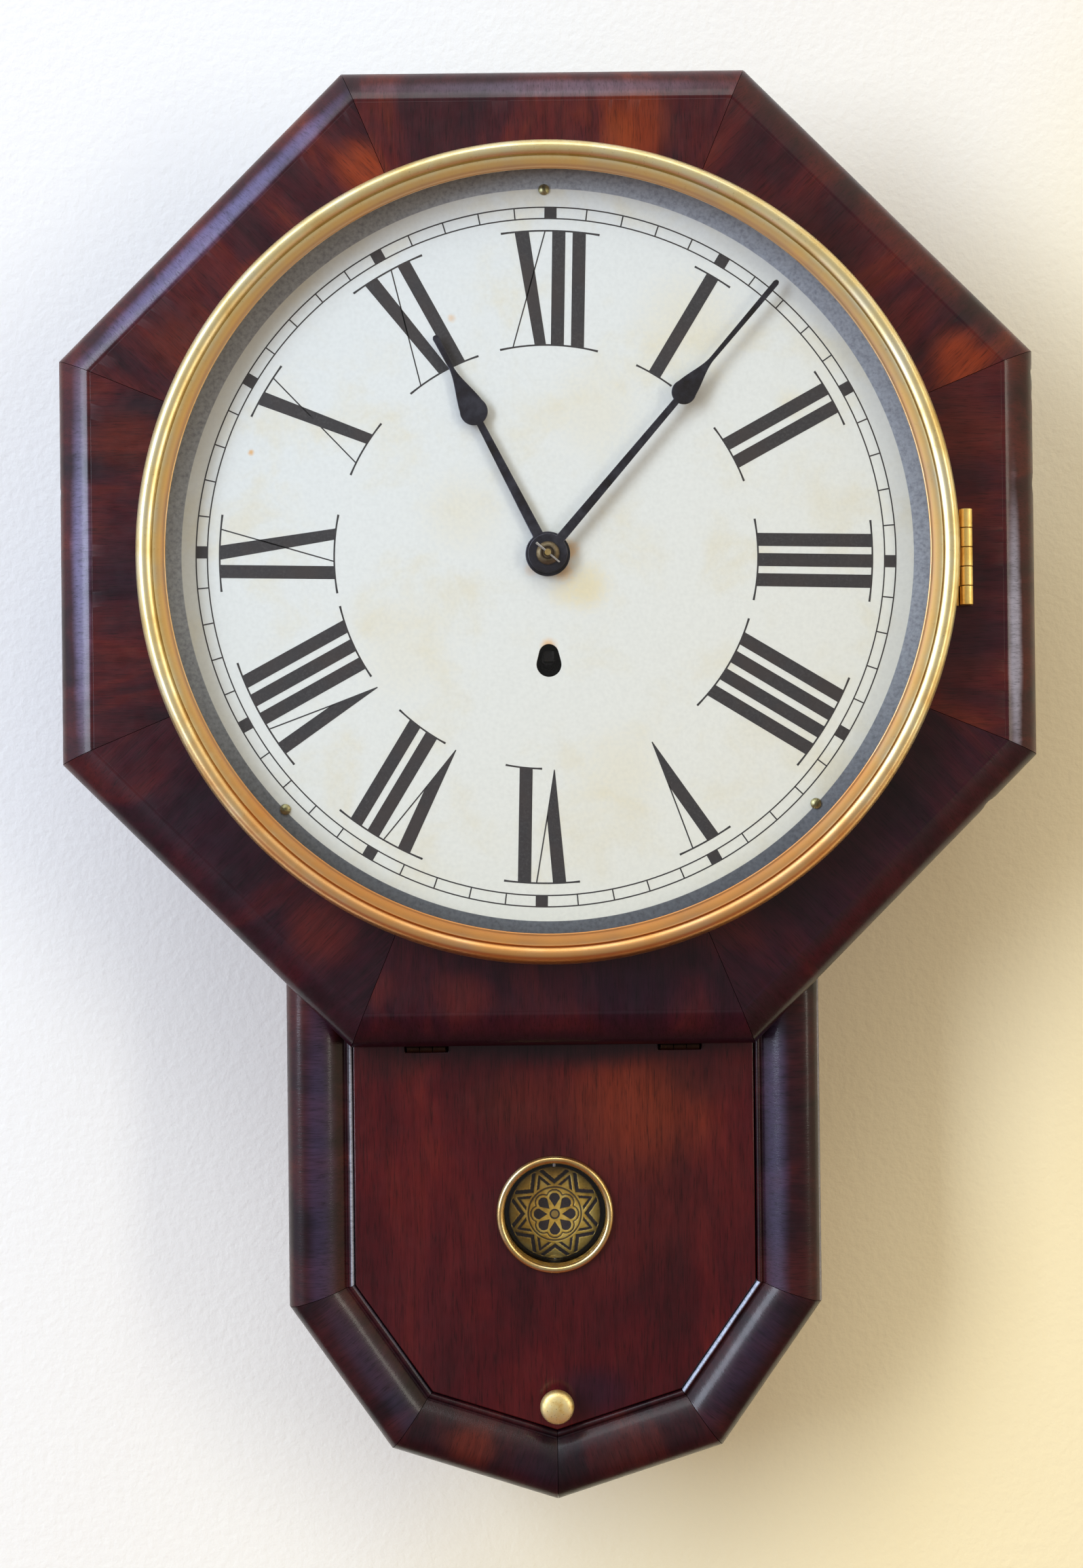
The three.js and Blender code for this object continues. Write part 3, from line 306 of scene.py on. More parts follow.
# Metals, all from one recipe: a bright ground, cloudy tarnish, dark specks and a fine relief.
# Rings of grime can lie round the piece's own axis, each with its radius, half width, strength and colour.
def metalMaterial(name, look):
    material, tree = newMaterial(name)
    place = addNode(tree, "ShaderNodeTexCoord").outputs["Object"]
    cloud = addNode(
        tree,
        "ShaderNodeTexNoise",
        inputs={"Vector": place, "Scale": perMetre(look["cloud"]), "Detail": 5, "Roughness": 0.6},
    )
    speck = addNode(
        tree,
        "ShaderNodeTexNoise",
        inputs={"Vector": place, "Scale": perMetre(look["speck"]), "Detail": 3, "Roughness": 0.7},
    )
    colour = addNode(
        tree,
        "ShaderNodeValToRGB",
        {"stops": [(0.34, look["tarnish"]), (0.5, look["ground"]), (0.66, look["bright"])]},
        {0: cloud.outputs[0]},
    ).outputs[0]
    specks = addNode(
        tree,
        "ShaderNodeMapRange",
        inputs={
            "Value": speck.outputs[0],
            "From Min": 0.62,
            "From Max": 0.7,
            "To Max": look["spots"],
        },
    ).outputs[0]
    colour = addNode(
        tree, "ShaderNodeMix", {"data_type": "RGBA"}, {0: specks, 6: colour, 7: toLinear(look["dirt"])}
    ).outputs[2]
    if "grime" in look:
        flat = addNode(
            tree, "ShaderNodeVectorMath", {"operation": "MULTIPLY"}, {0: place, 1: (1, 1, 0)}
        ).outputs[0]
        radius = addNode(tree, "ShaderNodeVectorMath", {"operation": "LENGTH"}, {0: flat}).outputs["Value"]
        for middle, half, strength, paint in look["grime"]:
            aside = addNode(
                tree, "ShaderNodeMath", {"operation": "SUBTRACT"}, {0: radius, 1: middle * mm}
            ).outputs[0]
            away = addNode(tree, "ShaderNodeMath", {"operation": "ABSOLUTE"}, {0: aside}).outputs[0]
            share = addNode(
                tree,
                "ShaderNodeMapRange",
                {"interpolation_type": "SMOOTHSTEP"},
                {"Value": away, "From Min": half * mm, "From Max": 0.25 * half * mm, "To Max": strength},
            ).outputs[0]
            colour = addNode(
                tree, "ShaderNodeMix", {"data_type": "RGBA"}, {0: share, 6: colour, 7: toLinear(paint)}
            ).outputs[2]
    if "copperAndFloorReflection" in look:  # copper red towards the bottom: worn lacquer, and a painted reflection of the warm floor below
        top, foot, strength, paint = look["copperAndFloorReflection"]
        wander = 0.12  # metres that the clouds can move the edge of the copper tone
        height = addNode(tree, "ShaderNodeSeparateXYZ", inputs={0: place}).outputs[1]
        ragged = addNode(
            tree, "ShaderNodeMath", {"operation": "MULTIPLY_ADD"}, {0: cloud.outputs[0], 1: wander, 2: height}
        ).outputs[0]
        share = addNode(
            tree,
            "ShaderNodeMapRange",
            {"interpolation_type": "SMOOTHSTEP"},
            {
                "Value": ragged,
                "From Min": top * mm + wander / 2,
                "From Max": foot * mm + wander / 2,
                "To Max": strength,
            },
        ).outputs[0]
        colour = addNode(
            tree, "ShaderNodeMix", {"data_type": "RGBA"}, {0: share, 6: colour, 7: toLinear(paint)}
        ).outputs[2]
    roughness = addNode(
        tree,
        "ShaderNodeMapRange",
        inputs={
            "Value": cloud.outputs[0],
            "From Min": 0.35,
            "From Max": 0.65,
            "To Min": look["rough"],
            "To Max": look["smooth"],
        },
    ).outputs[0]
    bump = addNode(
        tree,
        "ShaderNodeBump",
        inputs={"Strength": 0.3, "Distance": look["relief"] * mm, "Height": speck.outputs[0]},
    ).outputs[0]
    shader = addNode(
        tree,
        "ShaderNodeBsdfPrincipled",
        inputs={"Base Color": colour, "Metallic": 1.0, "Roughness": roughness, "Normal": bump},
    )
    addNode(tree, "ShaderNodeOutputMaterial", inputs={"Surface": shader.outputs[0]})
    return material


# Drawn glass, cleaned: clear where it faces the eye, and a mirror where it is seen along its surface
glassLook = {"tint": (0.985, 0.99, 0.985, 1), "rough": 0.03, "steepness": 5.0, "facing": 0.025, "edge": 0.5}


def glassMaterial(name):
    look = glassLook
    material, tree = newMaterial(name)
    clear = addNode(tree, "ShaderNodeBsdfTransparent", inputs={"Color": look["tint"]})
    shine = addNode(tree, "ShaderNodeBsdfGlossy", inputs={"Roughness": look["rough"]})
    facing = addNode(tree, "ShaderNodeLayerWeight", inputs={"Blend": 0.5}).outputs["Facing"]
    steep = addNode(
        tree, "ShaderNodeMath", {"operation": "POWER"}, {0: facing, 1: look["steepness"]}
    ).outputs[0]
    share = addNode(
        tree, "ShaderNodeMath", {"operation": "MULTIPLY_ADD"}, {0: steep, 1: look["edge"], 2: look["facing"]}
    ).outputs[0]
    shader = addNode(
        tree, "ShaderNodeMixShader", inputs={0: share, 1: clear.outputs[0], 2: shine.outputs[0]}
    )
    addNode(tree, "ShaderNodeOutputMaterial", inputs={"Surface": shader.outputs[0]})
    return material


brassLook = {
    "bright": "#f0dcab",
    "ground": "#e4c484",
    "tarnish": "#cc9f62",
    "dirt": "#5a3d20",
    "cloud": 14,
    "speck": 1.1,
    "spots": 0.5,
    "relief": 0.03,
    "smooth": 0.2,
    "rough": 0.32,
}
metals = {
    # cast and lathe-turned brass, polished and then left: warm, with brown in its corners
    "agedBrass": brassLook,
    # rolled brass plate, grained and lacquered: paler and duller than the bezel
    "movementBrass": {**brassLook, "bright": "#dcc48c", "ground": "#c8a968", "smooth": 0.34, "rough": 0.46},
    # ground steel, bright with a few brown spots
    "polishedSteel": {
        "bright": "#c9cbcf",
        "ground": "#a9abb0",
        "tarnish": "#85868a",
        "dirt": "#5a4636",
        "cloud": 8,
        "speck": 0.9,
        "spots": 0.35,
        "relief": 0.03,
        "smooth": 0.22,
        "rough": 0.36,
    },
    # steel heated to blue black: a soft dark shine
    "bluedSteel": {
        "bright": "#54535e",
        "ground": "#3d3b44",
        "tarnish": "#2e2a2a",
        "dirt": "#3a2a20",
        "cloud": 9,
        "speck": 0.8,
        "spots": 0.3,
        "relief": 0.03,
        "smooth": 0.34,
        "rough": 0.46,
    },
}
agedBrass = metalMaterial("agedBrass", metals["agedBrass"])
movementBrass = metalMaterial("rolledMovementBrass", metals["movementBrass"])
polishedSteel = metalMaterial("groundSteel", metals["polishedSteel"])
bluedSteel = metalMaterial("bluedSteel", metals["bluedSteel"])
windowGlass = glassMaterial("drawnGlass")
# the same steel painted nearly black, as painted shade for the inside of the winding hole, where it is seen
holeShadeSteel = metalMaterial(
    "holeShadeSteel", {**metals["polishedSteel"], "bright": "#4a494b", "ground": "#333234", "tarnish": "#2a2522"}
)
pineLook = {"late": "#3a2011", "early": "#5f3a20", "pale": "#7b5130", "ring": 5, "stain": 60, "long": 0.06}
# the carcass, whose nodes keep the part's own frame: the grain runs upright, along z
stainedPine = pineMaterial("stainedPine", {**pineLook, "stretch": (1, 1, pineLook["long"])})
# the same boards behind the veneer: along each length of the head and drop, and upright in the door
sawnPine = pineMaterial("sawnPine", {**pineLook, "stretch": (pineLook["long"], 1, 1)})
doorPine = pineMaterial("doorPine", {**pineLook, "stretch": (1, pineLook["long"], 1)})
print("materials made")

# Shapes


def bend(start, control, end, steps):  # points of a quadratic curve, after its start
    points = []
    for i in range(1, steps + 1):
        t = i / steps
        a, b, c = (1 - t) ** 2, 2 * t * (1 - t), t * t
        points.append(tuple(a * s + b * m + c * e for s, m, e in zip(start, control, end)))
    return points


def circle(radius, count, x=0.0, y=0.0):
    turn = 2 * math.pi / count
    return [(x + radius * math.cos(i * turn), y + radius * math.sin(i * turn)) for i in range(count)]


def skin(rows, wrap=False):  # quads over rows of points, each row a closed loop, with capped ends
    points = [point for row in rows for point in row]
    count = len(rows[0])
    faces = []
    for r in range(len(rows) - (0 if wrap else 1)):
        s = (r + 1) % len(rows)
        for i in range(count):
            j = (i + 1) % count
            faces.append((r * count + i, r * count + j, s * count + j, s * count + i))
    if not wrap:
        faces += [tuple(range(count)), tuple((len(rows) - 1) * count + i for i in range(count))]
    return points, faces


def turned(profile, sides):  # a closed profile of (radius, depth) spun about z
    angles = [2 * math.pi * i / sides for i in range(sides)]
    return skin([[(r * math.cos(a), r * math.sin(a), z) for r, z in profile] for a in angles], wrap=True)


def slab(outline, back, front):
    return skin([[(x, y, back) for x, y in outline], [(x, y, front) for x, y in outline]])


def joined(shapes):
    points, faces = [], []
    for more, itsFaces in shapes:
        faces += [tuple(i + len(points) for i in face) for face in itsFaces]
        points += more
    return points, faces


def placeMesh(name, mesh, material, body, slot, stands=(), at=(0, 0, 0), turn=0.0, sharp=35, backing=None):
    # stands are the CAD nodes it replaces, turn and sharp are degrees, and edges over sharp stay crisp
    work = bmesh.new()
    work.from_mesh(mesh)
    bmesh.ops.remove_doubles(work, verts=work.verts, dist=0.0005 * mm)
    bmesh.ops.recalc_face_normals(work, faces=work.faces)
    for face in work.faces:
        face.smooth = True
    for edge in work.edges:
        if len(edge.link_faces) == 2:
            level = [abs(face.normal.z) > 0.99999 for face in edge.link_faces]
            edge.smooth = edge.calc_face_angle(0) < math.radians(sharp) and level[0] == level[1]
    work.to_mesh(mesh)
    work.free()
    mesh.materials.append(material)
    if backing:  # the faces that look back at the wall
        mesh.materials.append(backing)
        for face in mesh.polygons:
            face.material_index = int(face.normal.z < -0.9)
    piece = bpy.data.objects.new(name, mesh)
    scene.collection.objects.link(piece)
    piece.matrix_world = (
        dialFrame @ Matrix.Translation(Vector(at) * mm) @ Matrix.Rotation(math.radians(turn), 4, "Z")
    )
    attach(piece, body)
    if stands:
        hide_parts(*stands)
    return piece


def makePiece(name, shape, *placing, **more):
    points, faces = shape
    mesh = bpy.data.meshes.new(name)
    mesh.from_pydata([(x * mm, y * mm, z * mm) for x, y, z in points], [], faces)
    return placeMesh(name, mesh, *placing, **more)


def plateMesh(name, outlines, back, front, bevel, steps=2):  # flat, pierced and with eased edges
    curve = bpy.data.curves.new(name, "CURVE")
    curve.dimensions = "2D"
    curve.fill_mode = "BOTH"
    curve.extrude = ((front - back) / 2 - bevel) * mm
    curve.bevel_depth = bevel * mm
    curve.bevel_resolution = steps
    curve.offset = -bevel * mm
    for outline in outlines:
        spline = curve.splines.new("POLY")
        spline.points.add(len(outline) - 1)
        spline.use_cyclic_u = True
        for point, (x, y) in zip(spline.points, outline):
            point.co = (x * mm, y * mm, 0, 1)
    holder = bpy.data.objects.new(name, curve)
    scene.collection.objects.link(holder)
    graph = bpy.context.evaluated_depsgraph_get()
    mesh = bpy.data.meshes.new_from_object(holder.evaluated_get(graph))
    mesh.transform(Matrix.Translation((0, 0, (back + front) / 2 * mm)))
    bpy.data.objects.remove(holder)
    bpy.data.curves.remove(curve)
    mesh.materials.clear()
    return mesh


# Mitred lengths of wood. The corners run anticlockwise, and a profile's points are (inwards, depth).
# Each length stops a hair short of its mitres, and its face swells and sinks over the given distance.
runLook = {"ease": 0.12, "swell": 14}


def mitres(corners, closed):  # how a point at each corner moves per millimetre inwards
    count = len(corners)
    inward = []
    for (x0, y0), (x1, y1) in zip(corners, corners[1:] + corners[:1]):
        length = math.hypot(x1 - x0, y1 - y0)
        inward.append(Vector((y0 - y1, x1 - x0)) / length)
    made = []
    for i in range(count):
        before, after = inward[i - 1], inward[i]
        if not closed and i in (0, count - 1):
            made.append(inward[0] if i == 0 else inward[i - 1])
        else:
            made.append((before + after) / (1 + before.dot(after)))
    return made


def woodRun(name, start, end, profile, stations, material, wave, behind=None, chips=(), **more):
    # start and end are a corner with its mitre; behind carries the back of the profile on past the end
    (a, mitreA), (b, mitreB) = start, end
    along = (b - a).normalized()
    middle = (a + b) / 2
    angle = math.degrees(math.atan2(along.y, along.x))
    toLocal = Matrix.Rotation(-math.radians(angle), 2)
    ease = runLook["ease"]
    rows = []
    for s in range(stations + 1):
        share = s / stations
        shift = along * (ease if s == 0 else -ease if s == stations and not behind else 0)
        row = []
        place = (b - a).length * (share - 0.5)
        dent = sum(deep * max(0.0, 1 - ((place - at) / half) ** 2) for at, half, deep in chips)
        for inwards, depth in profile:
            spot = a.lerp(b, share) + mitreA.lerp(mitreB, share) * max(inwards, dent)
            lift = 0
            if depth > profile[1][1]:  # the joints show as fine lines, and the surface isn't quite even
                spot += shift
                lift = wave * (noise.noise(Vector((spot.x, spot.y, depth)) / runLook["swell"]) - 0.5)
            spot = toLocal @ (spot - middle)
            row.append((spot.x, spot.y, depth + lift))
        rows.append(row)
    if behind:
        corner, mitre, limit = behind
        for foot, lean in (b, mitreB), (corner, mitre):
            row = []
            for inwards, depth in profile:
                spot = toLocal @ (foot + lean * inwards - middle)
                row.append((spot.x, spot.y, min(depth, limit)))
            rows.append(row)
    return makePiece(
        name,
        skin(rows),
        material,
        "case",
        "mahogany_veneer",
        at=(*middle, 0),
        turn=angle,
        backing=sawnPine,
        **more,
    )


# Octagon head: eight lengths of veneered pine, each with a broad rounded bevel round its outer edge
headLook = {
    "bevel": 15,
    "rise": 0.8,
    "edge": 13.2,
    "wave": 0.06,
    # for each length: seed, patches, and chips in its edge, each with its place, half length and depth
    "top": (
        1,
        [
            (-40, 27, 17, 24, 0.85, "#7a2e12"),
            (-32, 32, 9, 14, 0.6, "#8a3a14"),
            # painted sheen: a pale violet band along the bevel
            (0, 9.5, 90, 4.5, 0.5, "#776a7c"),
        ],
        [],
    ),
    "top_left": (
        2,
        [
            (-62, 38, 14, 17, 0.9, "#8a3614"),
            (2, 40, 14, 12, 0.7, "#7a2e12"),
            (44, 36, 16, 20, 0.7, "#5a2012"),
            # painted sheen: a pale bluish band along the bevel
            (0, 10.5, 100, 5, 0.66, "#7674a2"),
        ],
        [(20, 2.0, 0.5)],
    ),
    "left": (
        3,
        [
            (5, 34, 26, 30, 0.55, "#22101f"),
            (-50, 30, 18, 22, 0.7, "#5c2012"),
            # painted sheen: a pale bluish band along the bevel
            (0, 10.5, 90, 5, 0.72, "#7c799f"),
        ],
        [(-30, 2.5, 0.6)],
    ),
    # painted shade: the three lower lengths get darker wood colours
    "shadedLowerWood": {"dark": "#220b16", "middle": "#300d1a", "light": "#3e111a", "warm": "#501818"},
    "bottom_left": (4, [(40, 28, 20, 16, 0.6, "#64211a"), (-20, 30, 30, 26, 0.7, "#26101f")], []),
    "bottom": (
        5,
        [
            (-38, 22, 16, 14, 0.5, "#64221c"),
            (-72, 26, 8, 10, 0.4, "#64221c"),
            (30, 26, 30, 20, 0.5, "#1f0d20"),
            # painted shadow: a near-black band along the bevel's outer edge
            (0, 0, 200, 8, 0.85, "#180916"),
        ],
        [],
    ),
    "bottom_right": (6, [(0, 30, 60, 26, 0.6, "#220e1e"), (-20, 8, 40, 5, 0.5, "#4a0e18")], [(56, 3.5, 1.1)]),
    "right": (
        7,
        [
            (52, 32, 20, 20, 0.6, "#571f16"),
            (-30, 30, 34, 24, 0.5, "#270f20"),
            # worn polish and a painted highlight: a pale streak along the bevel
            (-35, 10.5, 70, 3.4, 0.9, "#aaa8b8"),
        ],
        [(76, 2.5, 1.2), (66, 4.0, 0.7), (29, 4.5, 1.0)],
    ),
    "top_right": (8, [(-64, 26, 16, 16, 0.8, "#8a3414"), (10, 30, 26, 24, 0.6, "#2a0f14")], []),
}


def makeHead():
    box = span("head_segment_top")
    apothem = -span("head_segment_left").left
    flatFront = box.front - headLook["rise"]
    bevel, width = headLook["bevel"], apothem - box.low
    shoulder = (0.0, box.back + headLook["edge"])
    slope = (4.2, flatFront - 4.6)  # a round shoulder, a flatter slope, and a fine step where the face begins
    profile = [(0.0, box.back), (0.0, box.back + headLook["edge"] * 0.5), shoulder]
    profile += bend(shoulder, (0.3, flatFront - 7.4), slope, 10)
    profile += bend(slope, (9.6, flatFront - 0.9), (bevel - 0.3, flatFront + 0.05), 12)
    profile += [(bevel + 0.1, flatFront - 0.1), (bevel + 0.6, flatFront)]
    profile += [(bevel + 0.6 + (width - bevel - 1.2) * i / 6, flatFront) for i in range(1, 7)]
    profile += [(width, flatFront - 0.6), (width, box.back)]
    radius = apothem / math.cos(math.pi / 8)
    corners = [
        (radius * math.cos(math.radians(22.5 + 45 * i)), radius * math.sin(math.radians(22.5 + 45 * i)))
        for i in range(8)
    ]
    ends = [(Vector(corner), mitre) for corner, mitre in zip(corners, mitres(corners, True))]
    names = ["top_right", "top", "top_left", "left", "bottom_left", "bottom", "bottom_right", "right"]
    for i, name in enumerate(names):
        seed, patches, chips = headLook[name]
        wood = headLook["shadedLowerWood"] if "bottom" in name else {}
        material = veneerMaterial("veneer_" + name, seed, patches, wood)
        woodRun(
            "head_" + name,
            ends[i],
            ends[(i + 1) % 8],
            profile,
            96,
            material,
            headLook["wave"],
            chips=chips,
            stands=["head_segment_" + name],
        )
    print("octagon head made")


# Drop: six cross-banded mouldings with a cushion face, and a lip behind that the door closes on
dropLook = {
    "crown": 16.7,
    "edge": 6.5,
    "lip": 5,
    "bead": 3.2,
    "wave": 0.09,
    "wood": {
        "dark": "#1a0a11",
        "middle": "#280d14",
        "light": "#381217",
        "warm": "#4a1916",
        "figure": 24,
        "streak": 1.6,
        "ripple": 6,
    },
    "left": (
        11,
        [
            (70, -16, 30, 20, 0.6, "#5e221c"),
            # painted sheen on the crown, and a painted highlight along the inner edge
            (-10, -15, 130, 7, 0.45, "#4a4464"),
            (0, -27.6, 400, 0.9, 1.0, "#c4cde4"),
        ],
    ),
    # painted sheen on the crown, and a faint painted highlight along the inner edge
    "lower_left": (12, [(10, 16, 60, 8, 0.4, "#3d3950"), (0, 27.7, 60, 0.4, 0.3, "#8d94aa")]),
    "bottom_left": (13, [(-6, 13, 15, 10, 0.6, "#6a2616"), (24, 14, 16, 14, 0.6, "#220e1e")]),
    "bottom_right": (14, [(0, 14, 22, 12, 0.5, "#4a1a15")]),
    # painted sheen on the crown, and a painted highlight along the inner edge
    "lower_right": (15, [(0, 14, 40, 8, 0.3, "#35304a"), (4, 27.6, 90, 1.0, 1.0, "#c0cae0")]),
    "right": (
        16,
        [
            (70, 16, 26, 14, 0.6, "#4c1c18"),
            (-60, 18, 22, 24, 0.5, "#4f1b18"),
            # painted sheen on the crown, and a painted highlight along the outer edge
            (0, 20, 160, 6, 0.45, "#4c4668"),
            (0, 1.0, 400, 0.8, 0.7, "#a5abc0"),
        ],
    ),
}


def dropCorners():  # anticlockwise, from the top of the left side
    side, lower = span("drop_moulding_right"), span("drop_moulding_lower_right")
    foot = span("drop_moulding_bottom_right")
    right = [(foot.right, lower.low), (side.right, side.low), (side.right, side.high)]
    return [(-x, y) for x, y in reversed(right)] + [(0.0, foot.low)] + right


def makeDrop():
    side = span("drop_moulding_right")
    back = side.back
    width = side.right - side.left - dropLook["lip"]
    lipFront = span("door").back - 0.3
    crown = (10.5, back + dropLook["crown"])
    bead = width - dropLook["bead"]
    shoulder = (0.0, back + dropLook["edge"])
    profile = [(0.0, back), (0.0, back + dropLook["edge"] * 0.5), shoulder]
    profile += bend(shoulder, (0.6, crown[1]), crown, 9)
    profile += bend(crown, (19.0, crown[1]), (bead, back + 10.4), 9)
    profile += [(bead + 0.45, back + 10.35), (bead + 0.8, back + 10.9)]
    profile += bend((bead + 0.8, back + 10.9), (width - 0.9, back + 12.4), (width, back + 10.6), 5)
    profile += [(width, lipFront), (width + dropLook["lip"], lipFront), (width + dropLook["lip"], back)]
    corners = dropCorners()
    ends = [(Vector(corner), mitre) for corner, mitre in zip(corners, mitres(corners, False))]
    head = span("head_segment_left")
    reach = (-head.left + 0.3) * math.sqrt(2) - side.right  # where the octagon's edge crosses the side
    names = ["left", "lower_left", "bottom_left", "bottom_right", "lower_right", "right"]
    for i, name in enumerate(names):
        seed, patches = dropLook[name]
        material = veneerMaterial("cross_banding_" + name, seed, patches, dropLook["wood"])
        start, end, behind = ends[i], ends[i + 1], None
        if name in ("left", "right"):
            out = -1 if name == "left" else 1
            cut = (Vector((out * side.right, -reach)), Vector((-out, -1)))
            top = (Vector((out * side.right, side.high)), Vector((-out, -1)), head.back - 0.3)
            start, end, behind = (ends[1], cut, top) if name == "left" else (start, cut, top)
        woodRun(
            "drop_" + name,
            start,
            end,
            profile,
            60 if behind else 36,
            material,
            dropLook["wave"],
            behind=behind,
            stands=["drop_moulding_" + name],
        )
    print("drop mouldings made")


# Door: one flat veneered board with upright grain, its window and knob hole bored through
doorLook = {
    "ease": 0.5,
    "clearance": 0.7,
    "under": 0.6,  # how far its top reaches up under the head, as the photograph shows no slit there
    "notch": 0.8,
    "windowHole": 22.6,
    "spindleHole": 1.9,
    "seed": 21,
    "wood": {
        "dark": "#380b11",
        "middle": "#470d13",
        "light": "#551315",
        "warm": "#651c15",
        "figure": 34,
        "streak": 2.2,
        "pore": 0.65,
    },
    "patches": [
        (38, -236, 34, 36, 0.75, "#7c3018"),
        (-10, -232, 40, 22, 0.5, "#5e2218"),
        # painted shadow under the head, on the door's upper right and upper left
        (62, -222, 24, 14, 0.4, "#2c1414"),
        (-70, -214, 18, 10, 0.35, "#261212"),
        (30, -270, 60, 50, 0.35, "#5e211b"),
        (-60, -330, 30, 60, 0.4, "#48161c"),
        # painted shadow: a dark band along the door's top, under the head
        (0, -205, 115, 13, 0.9, "#1f0d15"),
        (0, -278.5, 44, 44, 0.45, "#2c1018"),
        (16, -354, 22, 14, 0.6, "#1f1022"),
    ],
}


def insetCorners(inwards):
    corners = dropCorners()
    return [
        (x + mitre.x * inwards, y + mitre.y * inwards)
        for (x, y), mitre in zip(corners, mitres(corners, False))
    ]


def makeDoor():
    box, window, knob = span("door"), span("window_ring"), span("door_knob")
    moulding = span("drop_moulding_right")
    inwards = moulding.right - moulding.left - dropLook["lip"] + doorLook["clearance"]
    edge = insetCorners(inwards)
    top = span("head_segment_bottom").low - doorLook["under"]
    outline = [(edge[0][0], top), *edge[1:-1], (edge[-1][0], top)]
    for side in ("right", "left"):  # a notch for each hinge, cut down to the board's own top
        hinge, room = span(f"door_hinge_{side}_door_leaf"), doorLook["notch"]
        outline += [(hinge.right + room, top), (hinge.right + room, box.high)]
        outline += [(hinge.left - room, box.high), (hinge.left - room, top)]
    holes = [
        circle(doorLook["windowHole"], 96, 0, (window.low + window.high) / 2),
        circle(doorLook["spindleHole"], 24, 0, (knob.low + knob.high) / 2),
    ]
    mesh = plateMesh("door_board", [outline, *holes], box.back, box.front, doorLook["ease"])
    material = veneerMaterial("veneer_door", doorLook["seed"], doorLook["patches"], doorLook["wood"])
    placeMesh("door_board", mesh, material, "door", "mahogany_veneer", stands=["door"], backing=doorPine)
    print("door made")


# Window ring, glass and knob of the door
fittingLook = {
    "seat": 0.3,  # from the door's face to the ring and the knob's foot
    "opening": 21.75,
    "spigot": 22.3,
    # turned and dipped bright, then rubbed by fingers: pale, with a soft wide shine
    "knob": {
        **brassLook,
        "bright": "#fff2c0",
        "ground": "#fae4a0",
        "tarnish": "#e2bd70",
        "cloud": 5,
        "speck": 0.9,
        "spots": 0.7,
        "relief": 0.05,
        "smooth": 0.44,
        "rough": 0.55,
    },
}


def pane(glass, sides):  # a flat round sheet that fills the glass's box
    edge = glass.right
    return turned([(0, glass.back), (edge, glass.back), (edge, glass.front), (0, glass.front)], sides)


def makeDoorFittings():
    window, glass, knob = span("window_ring"), span("window_glass"), span("door_knob")
    windowY = (window.low + window.high) / 2
    knobY = (knob.low + knob.high) / 2
    outer, opening, spigot = window.right, fittingLook["opening"], fittingLook["spigot"]
    seatDepth = span("door").front + fittingLook["seat"]
    ring = [(outer, seatDepth)]
    ring += bend((outer, seatDepth), (outer + 0.05, window.front), (outer - 1.7, window.front), 8)
    ring += bend(ring[-1], (opening, window.front - 0.15), (opening, seatDepth + 0.3), 8)
    ring += [(opening, window.back), (spigot, window.back), (spigot, seatDepth)]
    makePiece(
        "window_bezel",
        turned(ring, 128),
        agedBrass,
        "door",
        "aged_brass",
        stands=["window_ring"],
        at=(0, windowY, 0),
    )
    makePiece(
        "window_pane",
        pane(glass, 96),
        windowGlass,
        "door",
        "glass",
        stands=["window_glass"],
        at=(0, windowY, 0),
    )
    r, foot, spindleEnd = knob.right, seatDepth, knob.back
    shape = [  # the spindle, a foot plate, a waist and a flat dome
        (0, spindleEnd),
        (2.3, spindleEnd),
        (2.6, spindleEnd + 0.3),
        (2.6, spindleEnd + 0.8),
        (1.6, spindleEnd + 0.8),
        (1.6, foot),
        (4.2, foot),
        (4.2, foot + 0.7),
        (3.9, foot + 1.0),
    ]
    shape += bend((3.9, foot + 1.0), (2.5, foot + 1.6), (3.1, foot + 3.2), 5)
    shape += bend((3.1, foot + 3.2), (r - 0.6, foot + 3.6), (r, foot + 6.2), 7)
    shape += bend((r, foot + 6.2), (r, foot + 8.8), (r - 1.9, foot + 9.5), 8)
    shape += bend((r - 1.9, foot + 9.5), (r - 4, foot + 10.2), (0, knob.front), 8)
    makePiece(
        "catch_knob",
        turned(shape, 72),
        metalMaterial("knobBrass", fittingLook["knob"]),
        "door_catch",
        "aged_brass",
        stands=["door_knob"],
        at=(0, knobY, 0),
    )
    print("window, knob and glass made")


# Bezel: spun from sheet, a broad roll, then a fine ridge and a slope down to the glass
bezelLook = {
    "width": 13.3,
    "wall": 1.4,
    "sunk": 2.6,  # the lip lies this far below the crest
    "overGlass": 0.3,
    "crest": 3.9,  # this and the valley are measured in from the outer edge
    "valley": 7.9,
    # burnished while it was spun and then lacquered: bright and even, and copper red towards the bottom,
    # partly worn lacquer and partly a painted reflection of the warm floor
    "brass": {
        **brassLook,
        "cloud": 22,
        "speck": 1.4,
        "spots": 0.25,
        "relief": 0.008,
        "smooth": 0.34,
        "rough": 0.42,
        "bright": "#fff4cc",
        "ground": "#f9e6ac",
        "tarnish": "#e6ca88",
        # worn lacquer and a painted reflection of the warm floor: copper red from 40 mm below the hands
        # downwards
        "copperAndFloorReflection": (-40, -150, 0.75, "#d58a48"),
    },
}


